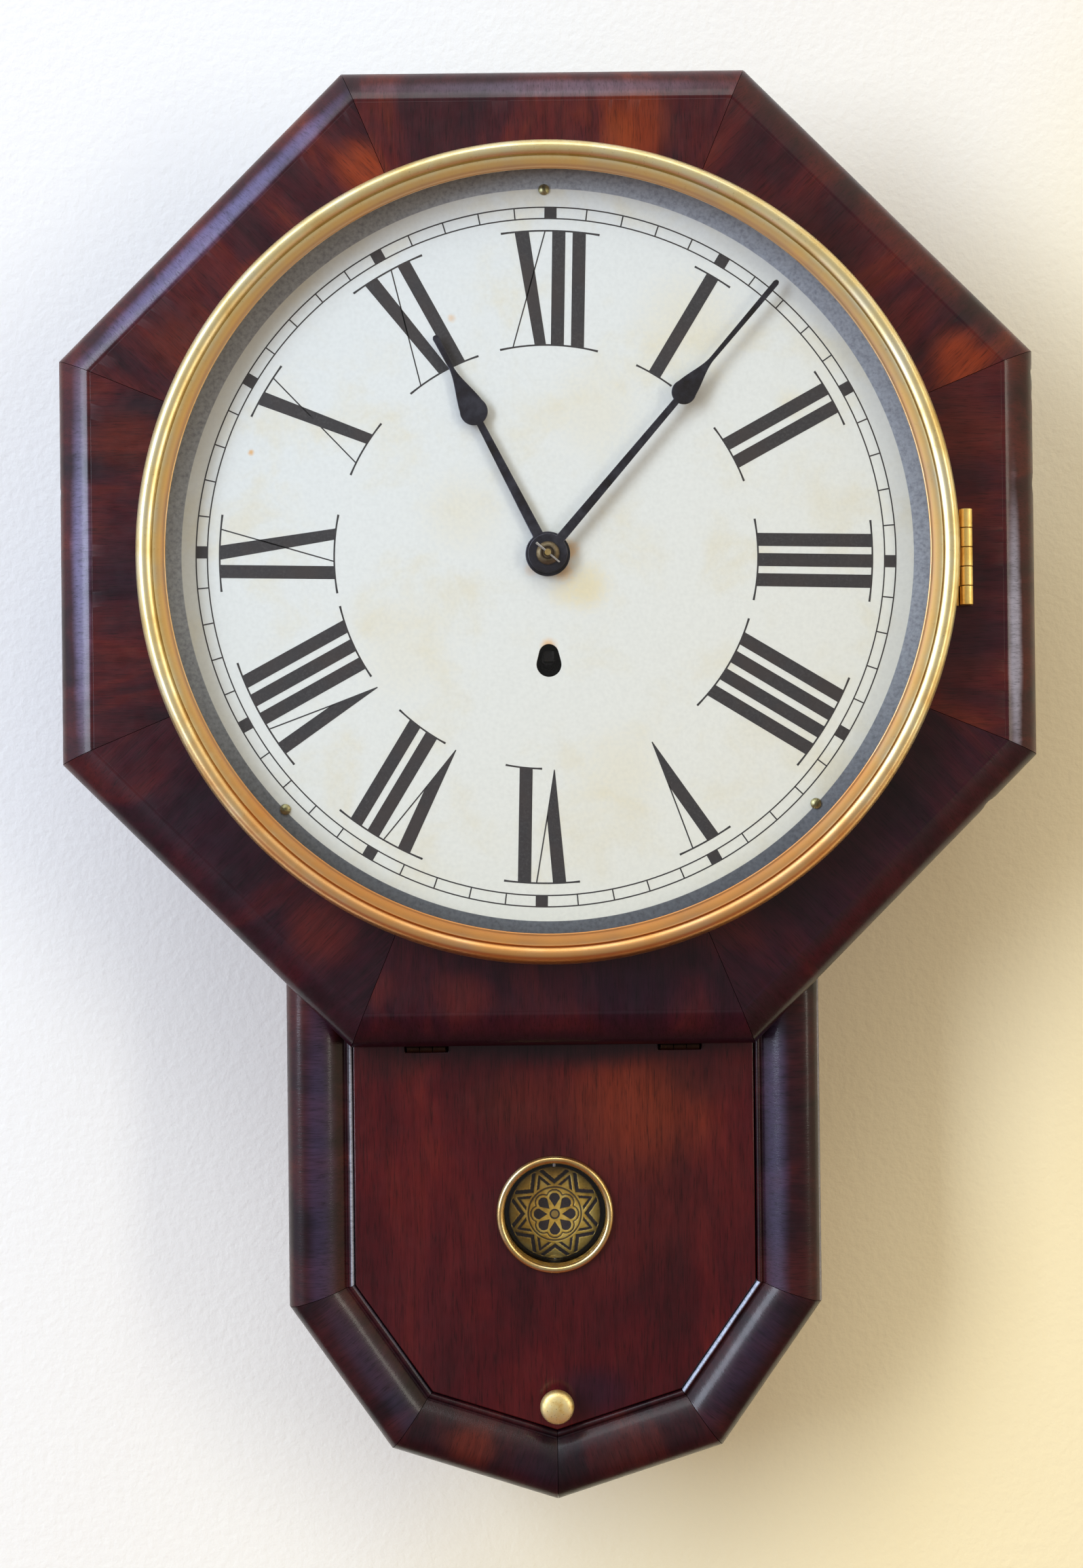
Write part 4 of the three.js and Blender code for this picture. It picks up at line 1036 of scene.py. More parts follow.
def makeBezel():
    box, glass = span("bezel_ring"), span("bezel_glass")
    r, back = box.right, box.back
    top = glass.front + bezelLook["overGlass"] + bezelLook["sunk"]
    lip, crest, valley = r - bezelLook["width"], r - bezelLook["crest"], r - bezelLook["valley"]
    profile = [(r, back), (r, back + 3), (r, back + 6)]
    profile += bend((r, back + 6), (r - 0.2, top - 0.9), (crest, top), 18)
    profile += bend((crest, top), (crest - 2.6, top + 0.2), (valley, top - 1.6), 10)
    profile += [(valley - 0.25, top - 1.1), (valley - 0.5, top - 0.85), (valley - 0.8, top - 0.95)]
    profile += bend((valley - 0.8, top - 0.95), (valley - 2.4, top - 1.2), (lip + 0.7, top - 2.0), 8)
    profile += [(lip + 0.3, top - 1.95), (lip, top - 2.2), (lip, top - bezelLook["sunk"])]
    profile += [(lip + 4, top - 2.5)]
    inside = r - bezelLook["wall"]
    profile += bend((r - 6.4, top - 2.3), (inside - 0.5, top - 1.2), (inside, back + 6), 5)
    profile += [(inside, back)]
    grime = [
        (lip + 2.0, 3.2, 0.65, "#eab060"),
        (lip + 0.8, 1.5, 0.45, "#c48870"),
        (valley, 0.8, 0.6, "#8f6c34"),
        (r + 0.3, 1.5, 0.35, "#e8b8bc"),
    ]
    makePiece(
        "bezel_spinning",
        turned(profile, 360),
        metalMaterial("bezelBrass", {**bezelLook["brass"], "grime": grime}),
        "bezel",
        "aged_brass",
        stands=["bezel_ring"],
        sharp=60,
    )
    makePiece("dial_pane", pane(glass, 180), windowGlass, "bezel", "glass", stands=["bezel_glass"])
    print("bezel made")


# Butt hinges: bent strip with rolled knuckles
hingeLook = {
    "gap": 0.15,  # beside each knuckle, and the ease of its ends
    "squareness": 2.6,  # 2 is a round knuckle, and more is squarer
    "sides": 32,
    "bezelStrip": 1.2,
    "doorStrip": 0.9,
    "doorRadius": 1.5,
    # filed flat and polished: a strong yellow with a satin shine
    "bezelBrass": {
        **brassLook,
        "bright": "#fbe196",
        "ground": "#f3d27e",
        "tarnish": "#e0b35c",
        "speck": 0.8,
        "spots": 0.3,
        "smooth": 0.42,
        "rough": 0.5,
    },
    # never polished, and nearly black with old wax
    "doorBrass": {
        **brassLook,
        "bright": "#4d3829",
        "ground": "#35251d",
        "tarnish": "#251914",
        "smooth": 0.4,
        "rough": 0.55,
    },
}


def knuckle(radius, start, end, axis):
    ease, power = hingeLook["gap"], hingeLook["squareness"]
    profile = [(0, start), (radius - ease, start), (radius, start + ease), (radius, end - ease)]
    profile += [(radius - ease, end), (0, end)]
    points, faces = turned(profile, hingeLook["sides"])
    squared = []
    for x, y, z in points:  # hammered a little flat, as far as the knuckle still turns freely
        reach = (abs(x) ** power + abs(y) ** power) ** (1 / power)
        grow = math.hypot(x, y) / reach if reach > 0 else 1
        squared.append((x * grow, y * grow, z))
    if axis == "x":
        return [(z, x, y) for x, y, z in squared], faces
    return [(y, z, x) for x, y, z in squared], faces


def strip(x0, x1, y0, y1, z0, z1):
    return slab([(x0, y0), (x1, y0), (x1, y1), (x0, y1)], z0, z1)


def makeHinges():
    gap, thick = hingeLook["gap"], hingeLook["bezelStrip"]
    brassStrip = metalMaterial("hingeBrass", hingeLook["bezelBrass"])
    # the bezel's, upright, with five knuckles: the case's leaf has the first, third and fifth
    case, leaf = span("bezel_hinge_case_leaf"), span("bezel_hinge_bezel_leaf")
    radius = (leaf.front - leaf.back) / 2
    x = leaf.right - radius
    middle = (case.low + case.high) / 2
    each = (case.high - case.low) / 5
    for name, turns, left, right in (
        ("case", (0, 2, 4), x, case.right),
        ("bezel", (1, 3), leaf.left, x),
    ):
        shapes = []
        for k in turns:
            low = -2.5 * each + k * each + gap
            high = low + each - 2 * gap
            shapes.append(knuckle(radius, low, high, "y"))
            edges = sorted((left - x, right - x))
            shapes.append(strip(edges[0], edges[1], low, high, -radius, thick - radius))
        if name == "bezel":
            flange = (left - x, -radius - 0.4)
            shapes.append(strip(*flange, -2.5 * each, 2.5 * each, -radius, thick - radius))
        makePiece(
            "bezel_hinge_" + name,
            joined(shapes),
            brassStrip,
            name,
            "aged_brass",
            stands=["bezel_hinge_" + name + "_leaf"],
            at=(x, middle, leaf.back + radius),
        )
    # the door's two, level, with three knuckles each
    dullBrass = metalMaterial("dullHingeBrass", hingeLook["doorBrass"])
    radius, thick = hingeLook["doorRadius"], hingeLook["doorStrip"]
    for side in ("left", "right"):
        case, leaf = span(f"door_hinge_{side}_case_leaf"), span(f"door_hinge_{side}_door_leaf")
        middle = (case.left + case.right) / 2
        each = (case.right - case.left) / 3
        axisDepth = case.front - radius
        for name, turns, box in (("case", (0, 2), case), ("door", (1,), leaf)):
            back = box.back - axisDepth
            edge = radius if name == "case" else thick - radius
            shapes = []
            for k in turns:
                low = -1.5 * each + k * each + gap
                high = low + each - 2 * gap
                shapes.append(knuckle(radius, low, high, "x"))
                shapes.append(strip(low, high, edge - thick, edge, back, 0))
            shapes.append(strip(-1.5 * each, 1.5 * each, edge - thick, edge, back, -radius - 0.3))
            makePiece(
                f"door_hinge_{side}_{name}",
                joined(shapes),
                dullBrass,
                name,
                "aged_brass",
                stands=[f"door_hinge_{side}_{name}_leaf"],
                at=(middle, (box.low + box.high) / 2, axisDepth),
            )
    print("hinges made")


# Dial: zinc sheet, painted white to a bare margin, and printed
dialLook = {
    "paint": "#eceadf",
    "cool": "#e6eaeb",
    "stain": "#e4d9b8",
    "rust": "#e6b472",
    "yellow": "#e8d59c",
    "zinc": ("#878b95", "#a4a9b4", "#bac0ca"),
    "zincShade": 0.32,
    "printing": "#302d2f",
    "paintEdge": 152.4,
    "turn": 1.37,  # the printing sits askew, clockwise
    "aside": (-0.7, -0.8),
    "trackInner": 140.9,
    "trackOuter": 145.6,
    "line": 0.55,
    "block": 5.1,
    "numeralInner": 88.2,
    "numeralOuter": 135.8,
    "hairline": 0.55,
    "serif": 0.7,
    "serifReach": 5.8,
    "hubHole": 4.25,
    "ease": 0.12,
    # widths of the patterns in the paint and in the ink
    "bloom": 34,
    "grain": 1.6,
    "wear": 0.8,
    "browning": 24,
    # the ink's height over the sheet; what crosses lies a hair higher, so that no two faces share a plane
    "ink": {"track": 0.04, "minute": 0.05, "stroke": 0.06, "serif": 0.045},
    # rust crept from the two holes and from single specks, and yellow bloom: x, y, reach, strength, paint
    "marks": [
        (9, 2, 6, 0.7, "rust"),
        (6.5, -7, 6, 0.6, "rust"),
        (-7, -6, 4, 0.35, "rust"),
        (16, -14, 13, 0.6, "yellow"),
        (6, -16, 9, 0.35, "yellow"),
        (0, -38, 4.5, 0.8, "rust"),
        (-123, 44, 1.8, 0.9, "rust"),
        (102, 62, 9, 0.25, "yellow"),
        (-36, 18, 22, 0.2, "yellow"),
        (60, 95, 30, 0.25, "yellow"),
        (20, 60, 26, 0.2, "yellow"),
        (-60, -40, 28, 0.16, "yellow"),
        (30, -90, 24, 0.2, "yellow"),
        (-39, 99, 2.4, 0.5, "rust"),
    ],
}


def dialMaterial():
    # flat oil paint on sheet zinc, long aged: matt cream with yellow bloom, and rust at the holes
    look = dialLook
    material, tree = newMaterial("agedDialPaint")
    place = addNode(tree, "ShaderNodeTexCoord").outputs["Object"]
    flat = addNode(
        tree, "ShaderNodeVectorMath", {"operation": "MULTIPLY"}, {0: place, 1: (1, 1, 0)}
    ).outputs[0]
    radius = addNode(tree, "ShaderNodeVectorMath", {"operation": "LENGTH"}, {0: flat}).outputs["Value"]
    bloom = addNode(
        tree,
        "ShaderNodeTexNoise",
        inputs={
            "Vector": place,
            "Scale": perMetre(look["bloom"]),
            "Detail": 5,
            "Roughness": 0.6,
            "Distortion": 0.3,
        },
    )
    fine = addNode(
        tree,
        "ShaderNodeTexNoise",
        inputs={"Vector": place, "Scale": perMetre(look["grain"]), "Detail": 4, "Roughness": 0.7},
    )
    parts = addNode(tree, "ShaderNodeSeparateXYZ", inputs={0: place})
    lean = addNode(  # cooler at the upper left and creamier at the lower right
        tree, "ShaderNodeMath", {"operation": "SUBTRACT"}, {0: parts.outputs[0], 1: parts.outputs[1]}
    ).outputs[0]
    side = addNode(
        tree, "ShaderNodeMapRange", inputs={"Value": lean, "From Min": -0.17, "From Max": 0.2}
    ).outputs[0]
    colour = addNode(
        tree,
        "ShaderNodeMix",
        {"data_type": "RGBA"},
        {0: side, 6: toLinear(look["cool"]), 7: toLinear(look["paint"])},
    ).outputs[2]
    stainShare = addNode(
        tree,
        "ShaderNodeMapRange",
        {"interpolation_type": "SMOOTHSTEP"},
        {"Value": bloom.outputs[0], "From Min": 0.46, "From Max": 0.76, "To Max": 0.5},
    ).outputs[0]
    colour = addNode(
        tree, "ShaderNodeMix", {"data_type": "RGBA"}, {0: stainShare, 6: colour, 7: toLinear(look["stain"])}
    ).outputs[2]
    for x, y, reach, strength, paint in look["marks"]:
        offset = addNode(
            tree, "ShaderNodeVectorMath", {"operation": "DISTANCE"}, {0: flat, 1: (x * mm, y * mm, 0)}
        ).outputs["Value"]
        ragged = addNode(
            tree,
            "ShaderNodeMath",
            {"operation": "MULTIPLY_ADD"},
            {0: fine.outputs[0], 1: -0.8 * reach * mm, 2: offset},
        ).outputs[0]
        share = addNode(
            tree,
            "ShaderNodeMapRange",
            {"interpolation_type": "SMOOTHSTEP"},
            {
                "Value": ragged,
                "From Min": 0.6 * reach * mm,
                "From Max": -0.3 * reach * mm,
                "To Max": strength,
            },
        ).outputs[0]
        colour = addNode(
            tree, "ShaderNodeMix", {"data_type": "RGBA"}, {0: share, 6: colour, 7: toLinear(look[paint])}
        ).outputs[2]
    grain = addNode(
        tree, "ShaderNodeValToRGB", {"stops": [(0.3, 0.93), (0.6, 1.0)]}, {0: fine.outputs[0]}
    ).outputs[0]
    colour = addNode(
        tree, "ShaderNodeMix", {"data_type": "RGBA", "blend_type": "MULTIPLY"}, {0: 1.0, 6: colour, 7: grain}
    ).outputs[2]
    zinc = addNode(
        tree,
        "ShaderNodeValToRGB",
        {"stops": list(zip((0.3, 0.5, 0.75), look["zinc"]))},
        {0: fine.outputs[0]},
    ).outputs[0]
    lowerShade = addNode(  # painted shade: the bare zinc darker low down
        tree,
        "ShaderNodeMapRange",
        {"interpolation_type": "SMOOTHSTEP"},
        {"Value": parts.outputs[1], "From Min": -0.14, "From Max": 0.0, "To Min": look["zincShade"]},
    ).outputs[0]
    zinc = addNode(
        tree, "ShaderNodeMix", {"data_type": "RGBA", "blend_type": "MULTIPLY"}, {0: 1.0, 6: zinc, 7: lowerShade}
    ).outputs[2]
    bare = addNode(
        tree,
        "ShaderNodeMapRange",
        inputs={
            "Value": radius,
            "From Min": (look["paintEdge"] - 0.1) * mm,
            "From Max": (look["paintEdge"] + 0.1) * mm,
        },
    ).outputs[0]
    colour = addNode(tree, "ShaderNodeMix", {"data_type": "RGBA"}, {0: bare, 6: colour, 7: zinc}).outputs[2]
    bump = addNode(
        tree, "ShaderNodeBump", inputs={"Strength": 0.25, "Distance": 0.05 * mm, "Height": fine.outputs[0]}
    ).outputs[0]
    shader = addNode(
        tree,
        "ShaderNodeBsdfPrincipled",
        inputs={"Base Color": colour, "Roughness": 0.55, "IOR": 1.5, "Normal": bump},
    )
    addNode(tree, "ShaderNodeOutputMaterial", inputs={"Surface": shader.outputs[0]})
    return material


def printMaterial():
    # printer's ink over the paint, worn thin: dark brown grey with paler grains
    material, tree = newMaterial("dialPrintingInk")
    place = addNode(tree, "ShaderNodeTexCoord").outputs["Object"]
    wear = addNode(
        tree,
        "ShaderNodeTexNoise",
        inputs={"Vector": place, "Scale": perMetre(dialLook["wear"]), "Detail": 4, "Roughness": 0.75},
    )
    broad = addNode(
        tree,
        "ShaderNodeTexNoise",
        inputs={"Vector": place, "Scale": perMetre(dialLook["browning"]), "Detail": 3, "Roughness": 0.6},
    )
    colour = addNode(
        tree,
        "ShaderNodeValToRGB",
        {"stops": [(0.3, "#221e20"), (0.55, dialLook["printing"]), (0.75, "#4c484a")]},
        {0: wear.outputs[0]},
    ).outputs[0]
    brown = addNode(
        tree,
        "ShaderNodeMapRange",
        inputs={"Value": broad.outputs[0], "From Min": 0.42, "From Max": 0.65, "To Max": 0.5},
    ).outputs[0]
    colour = addNode(
        tree, "ShaderNodeMix", {"data_type": "RGBA"}, {0: brown, 6: colour, 7: toLinear("#3a2c27")}
    ).outputs[2]
    shader = addNode(
        tree, "ShaderNodeBsdfPrincipled", inputs={"Base Color": colour, "Roughness": 0.6, "IOR": 1.5}
    )
    addNode(tree, "ShaderNodeOutputMaterial", inputs={"Surface": shader.outputs[0]})
    return material


def windingHole():  # round the lower circle and over the smaller upper one
    low, lowRadius, high, highRadius = -45.6, 5.2, -41.2, 4.1
    lean = math.asin((lowRadius - highRadius) / (high - low))
    steps = 24
    points = []
    for y, r, start, end in (
        (low, lowRadius, math.pi - lean, 2 * math.pi + lean),
        (high, highRadius, lean, math.pi - lean),
    ):
        for i in range(steps + 1):
            angle = start + (end - start) * i / steps
            points.append((r * math.cos(angle), y + r * math.sin(angle)))
    return points


def arcStrip(radius, width, fromX, toX, steps):  # a serif along a circle, a little thicker at its ends
    outer, inner = [], []
    for i in range(steps + 1):
        x = fromX + (toX - fromX) * i / steps
        nearEnd = max(0, 1 - min(i, steps - i) / 1.5)
        half = width / 2 * (1 + 0.3 * nearEnd)
        angle = x / radius
        outer.append(((radius + half) * math.sin(angle), (radius + half) * math.cos(angle)))
        inner.append(((radius - half) * math.sin(angle), (radius - half) * math.cos(angle)))
    return outer + inner[::-1]


# The letters of the numerals, in millimetres across: at a numeral's foot, which points to the hands, and head
letterLook = {
    "I": 5.5,
    "V": 12.5,
    "X": 13.6,
    "between": 2.1,
    "betweenUprights": 3.0,
    "narrowing": 0.985,  # uprights draw together a little towards the hands
    "thickOfX": (2.2, 6.9, -0.9, -6.8),  # foot's left and right, then head's right and left
    "thinOfX": (-6.6, 6.2),
    "tipOfV": 0.2,
    "farOfV": 7.1,
    "meetOfV": 0.41,  # how far up its thin stroke leaves the thick one
    "serifOfV": 4.0,
}


def numeralStrokes(text):
    # outlines with the dial's middle at 0, 0 and heads outwards; stroke ends follow the two circles
    look = letterLook
    inner, outer = dialLook["numeralInner"], dialLook["numeralOuter"]
    stroke, hair = look["I"], dialLook["hairline"]
    gaps = [look["betweenUprights"] if a == b == "I" else look["between"] for a, b in zip(text, text[1:])]
    total = sum(look[letter] for letter in text) + sum(gaps)

    def at(x, share):  # a point on the way from the inner circle to the outer one
        radius = inner + (outer - inner) * share
        return (x, math.sqrt(radius * radius - x * x))

    strokes, serifs = [], {"inner": [], "outer": []}
    x = -total / 2
    for letter, gap in zip(text, gaps + [0]):
        if letter == "I":
            a, b, lean = x, x + stroke, look["narrowing"]
            strokes.append([at(a * lean, 0), at(b * lean, 0), at(b, 1), at(a, 1)])
            serifs["inner"] += [a, b]
            serifs["outer"] += [a, b]
        elif letter == "X":
            middle = x + look["X"] / 2
            a, b, c, d = (middle + across for across in look["thickOfX"])
            foot, head = (middle + across for across in look["thinOfX"])
            strokes.append([at(a, 0), at(b, 0), at(c, 1), at(d, 1)])
            strokes.append([at(foot - hair, 0), at(foot, 0), at(head, 1), at(head - hair, 1)])
            serifs["inner"] += [foot, b]
            serifs["outer"] += [d, head]
        else:
            apex, tip, meet = x + stroke, look["tipOfV"], look["meetOfV"]
            joint, far = apex + look["farOfV"] * meet, apex + look["farOfV"]
            point = [at(apex - tip, 0.01), at(apex + tip, 0.01)]
            strokes.append(point + [at(joint, meet), at(apex, 1), at(x, 1)])
            strokes.append([at(joint - hair, meet), at(joint, meet), at(far, 1), at(far - hair, 1)])
            serifs["outer"] += [x, far]
        x += look[letter] + gap
    reach = dialLook["serifReach"]
    lines = []
    for side, radius in (("inner", inner), ("outer", outer)):
        if not serifs[side]:
            continue
        low, high = min(serifs[side]), max(serifs[side])
        before = look["serifOfV"] if side == "inner" and text[0] == "V" else reach
        lines.append(arcStrip(radius, dialLook["serif"], low - before, high + reach, 14))
    return strokes, lines


def clockwise(outline, degrees):
    angle = -math.radians(degrees)
    c, s = math.cos(angle), math.sin(angle)
    return [(x * c - y * s, x * s + y * c) for x, y in outline]


def ring(radius, width, back, front, sides):
    a, b = radius - width / 2, radius + width / 2
    return turned([(a, back), (b, back), (b, front), (a, front)], sides)


def makeDial():
    box = span("dial")
    look = dialLook
    outlines = [circle(box.right, 256), circle(look["hubHole"], 48), windingHole()]
    mesh = plateMesh("dial_sheet", outlines, box.back, box.front, look["ease"], 1)
    placeMesh("dial_sheet", mesh, dialMaterial(), "case", "painted_zinc", stands=["dial"])
    front, ink = box.front, look["ink"]
    low, high = look["trackInner"], look["trackOuter"]
    shapes = [ring(radius, look["line"], front, front + ink["track"], 360) for radius in (low, high)]
    for minute in range(60):
        half = (look["block"] if minute % 5 == 0 else look["line"]) / 2
        mark = [(-half, low), (half, low), (half, high), (-half, high)]
        shapes.append(slab(clockwise(mark, minute * 6 + look["turn"]), front, front + ink["minute"]))
    texts = ["XII", "I", "II", "III", "IIII", "V", "VI", "VII", "VIII", "IX", "X", "XI"]
    for hour, text in enumerate(texts):
        turn = hour * 30 + look["turn"]
        for outlines, kind in zip(numeralStrokes(text), ("stroke", "serif")):
            shapes += [slab(clockwise(outline, turn), front, front + ink[kind]) for outline in outlines]
    aside = (*look["aside"], 0)
    makePiece("dial_printing", joined(shapes), printMaterial(), "case", "painted_zinc", at=aside)
    print("dial and its numerals made")


def reliefDisc(radius, rise, relief, rings, sides, edge):
    # a domed disc whose front follows rise(distance) and relief(x, y), which gives a lift and a darkness;
    # it ends a hair inside the rim, and edge carries it on from there, as rings of (radius, depth);
    # returns the shape and each point's darkness
    points, sunk = [(0, 0, rise(0) + relief(0, 0)[0])], [relief(0, 0)[1]]
    faces = []
    for k in range(1, rings + 1):
        r = radius * k / rings
        for i in range(sides):
            angle = 2 * math.pi * i / sides
            x, y = r * math.cos(angle), r * math.sin(angle)
            lift, dark = relief(x, y)
            points.append((x, y, rise(r) + lift))
            sunk.append(dark)
    for i in range(sides):
        faces.append((0, 1 + i, 1 + (i + 1) % sides))
    for k in range(rings - 1):
        for i in range(sides):
            a, b = 1 + k * sides + i, 1 + k * sides + (i + 1) % sides
            faces.append((a, a + sides, b + sides, b))
    last = 1 + (rings - 1) * sides
    for r, z in edge:
        start = len(points)
        for i in range(sides):
            angle = 2 * math.pi * i / sides
            points.append((r * math.cos(angle), r * math.sin(angle), z))
            sunk.append(0)
        for i in range(sides):
            j = (i + 1) % sides
            faces.append((last + i, start + i, start + j, last + j))
        last = start
    faces.append(tuple(last + i for i in range(sides)))
    return (points, faces), sunk


# Dial screws: round brass heads with a slot
screwLook = {
    "slotTurns": {"top": 25, "lower_left": 80, "lower_right": -30},
    "seat": 0.3,  # from the dial to the head
    "wall": 0.35,  # height of the head's edge
    "slotHalf": 0.3,
    "slotDepth": 0.45,
    "shank": 1.2,
    # turned on a lathe and never lacquered: dull and faintly green
    "brass": {
        **brassLook,
        "bright": "#b5ad80",
        "ground": "#918b66",
        "tarnish": "#77704e",
        "cloud": 2.5,
        "speck": 0.5,
        "smooth": 0.4,
        "rough": 0.55,
    },
}


def makeDialScrews():
    slotBrass = metalMaterial("screwBrass", screwLook["brass"])
    seatDepth = span("dial").front + screwLook["seat"]
    wall, shank = screwLook["wall"], screwLook["shank"]
    for name, slotTurn in screwLook["slotTurns"].items():
        box = span("dial_screw_" + name)
        x, y, r = (box.left + box.right) / 2, (box.low + box.high) / 2, (box.right - box.left) / 2

        def dome(distance):
            return seatDepth + wall + (box.front - seatDepth - wall) * (1 - (distance / r) ** 2)

        def slot(across, along):
            return (-screwLook["slotDepth"], 1) if abs(across) < screwLook["slotHalf"] else (0, 0)

        edge = [(r, seatDepth), (shank, seatDepth), (shank, box.back + 1)]
        shape = reliefDisc(r * 0.999, dome, slot, 14, 48, edge)[0]
        makePiece(
            "dial_screw_head_" + name,
            shape,
            slotBrass,
            "case",
            "aged_brass",
            stands=["dial_screw_" + name],
            at=(x, y, 0),
            turn=slotTurn,
        )
    print("dial screws made")


# Hands: blued steel, a round bulb drawn out to a long tip
hands = {
    "hour": {
        "body": "hour_wheel_and_hand",
        "turn": -333.2,  # degrees; the two show shortly after five past eleven
        "hole": 3.55,
        "length": 102,
        "bulb": 66.6,  # from the axis to the middle of the bulb
        "bulbWidth": 11.6,
        "root": 4.6,
        "stem": 3,
        "neck": 2,
        "tip": 2.8,
        "boss": 9.3,
    },
    "minute": {
        "body": "minute_arbor",
        "turn": -40.8,
        "hole": 2.65,
        "length": 147.6,
        "bulb": 87.2,
        "bulbWidth": 10.2,
        "root": 4,
        "stem": 2.8,
        "neck": 1.9,
        "tip": 2.4,
        "boss": 8.2,
    },
}
handLook = {
    "bevel": 0.22,
    "colletBore": 1.65,
    "pinLength": 12.5,
    "pinTurn": -40.5,
    # brass gone brown, with dirt at its bore and rim
    "collet": {
        **brassLook,
        "cloud": 4,
        "speck": 0.6,
        "spots": 0.7,
        "bright": "#978873",
        "ground": "#73654f",
        "tarnish": "#5f5038",
        "smooth": 0.4,
        "rough": 0.52,
    },
    # bright drawn wire
    "pin": {**metals["polishedSteel"], "bright": "#f2f2f2", "ground": "#dcdcdc"},
}


def handOutline(hand):
    radius, bulb, width = hand["bulbWidth"] / 2, hand["bulb"], hand["bulbWidth"]
    half = hand["stem"] / 2
    foot = bulb - math.sqrt(radius**2 - half**2)
    joint = math.sqrt(hand["boss"] ** 2 - (hand["root"] / 2) ** 2)
    side = [(hand["root"] / 2, joint), (half, foot)]
    start, end = math.asin((foot - bulb) / radius), 0.45
    steps = 24
    for i in range(1, steps + 1):
        angle = start + (end - start) * i / steps
        side.append((radius * math.cos(angle), bulb + radius * math.sin(angle)))
    # the bulb is drawn out along a cubic curve into the neck
    a, b = side[-1], (radius * 0.72, bulb + width * 0.75)
    c, d = (hand["neck"] * 0.62, bulb + width * 1.25), (hand["neck"] / 2, bulb + width * 1.75)
    steps = 16
    for i in range(1, steps + 1):
        t = i / steps
        w = ((1 - t) ** 3, 3 * t * (1 - t) ** 2, 3 * t * t * (1 - t), t**3)
        side.append(tuple(sum(k * p[n] for k, p in zip(w, (a, b, c, d))) for n in (0, 1)))
    side += [(hand["tip"] / 2, hand["length"] - 1.2), (hand["tip"] / 3, hand["length"] - 0.3)]
    side.append((hand["tip"] / 8, hand["length"]))
    opening = math.asin(hand["root"] / 2 / hand["boss"])
    boss = []
    steps = 48
    for i in range(1, steps):
        angle = opening + (2 * math.pi - 2 * opening) * i / steps
        boss.append((hand["boss"] * math.sin(angle), hand["boss"] * math.cos(angle)))
    # up the right side, down the left one, and round the boss
    return side + [(-x, y) for x, y in reversed(side)] + boss[::-1]


def makeHands():
    for name, hand in hands.items():
        box = span(name + "_hand")
        outlines = [handOutline(hand), circle(hand["hole"], 40)]
        mesh = plateMesh(name + "_hand_steel", outlines, box.back, box.front, handLook["bevel"])
        placeMesh(
            name + "_hand_steel",
            mesh,
            bluedSteel,
            hand["body"],
            "blued_steel",
            stands=[name + "_hand"],
            turn=hand["turn"],
        )
    collet, pin = span("hand_collet"), span("hand_taper_pin")
    r, low, high, bore = collet.right, collet.back, collet.front, handLook["colletBore"]
    profile = [(bore, low), (r, low), (r, low + 0.35)]
    profile += bend((r, low + 0.35), (r - 0.1, low + 0.6), (3.5, high - 0.12), 6)
    profile += [(3.2, high), (2.6, high - 0.1), (2.3, high - 0.45), (bore, high - 0.45)]
    grime = [(2.3, 0.7, 0.8, "#3a2a1c"), (r, 0.6, 0.5, "#3a2a1c")]
    makePiece(
        "hand_collet_turned",
        turned(profile, 64),
        metalMaterial("colletBrass", {**handLook["collet"], "grime": grime}),
        "minute_arbor",
        "aged_brass",
        stands=["hand_collet"],
    )
    length, depth = handLook["pinLength"], (pin.back + pin.front) / 2
    taper = [(0, -length / 2), (0.4, -length / 2), (0.5, 0.12 - length / 2), (0.38, length / 2 - 0.1)]
    taper += [(0.3, length / 2), (0, length / 2)]
    points, faces = turned(taper, 20)
    lying = [(z, x, y) for x, y, z in points]
    makePiece(
        "hand_pin",
        (lying, faces),
        metalMaterial("brightPinSteel", handLook["pin"]),
        "minute_arbor",
        "polished_steel",
        stands=["hand_taper_pin"],
        at=(0, 0, depth),
        turn=handLook["pinTurn"],
    )
    print("hands made")


# Pendulum bob: brass shell over lead, pressed with an eight-pointed star and rosette filled in black
bobLook = {
    # the pattern's lengths are shares of the bob's radius
    "boss": 0.11,
    "bossLine": 0.03,
    "petalFrom": 0.16,
    "petalTo": 0.46,
    "petalWidth": 0.118,
    "petalWaist": 0.6,  # where along it a petal is widest
    "scallop": 0.52,
    "scallopDip": 0.085,
    "line": 0.018,
    "circle": 0.575,
    "valley": 0.61,
    "tip": 0.97,
    "gold": 0.028,  # half the star's gold line, between an outer and an inner dark band
    "band": 0.085,
    "bandEnd": 0.93,  # of the way from valley to tip
    "rim": 0.975,
    "innerBand": 0.06,
    "innerBandEnd": 0.86,
    "innerBandStart": 0.02,
    "innerBandFrom": 0.635,
    "depth": 0.28,  # millimetres, as are the widths of the patterns in its brass and wax
    "cloud": 5,
    "speck": 0.7,
    "metallic": 0.5,  # half metal, because lacquer and dust lie over the brass
}


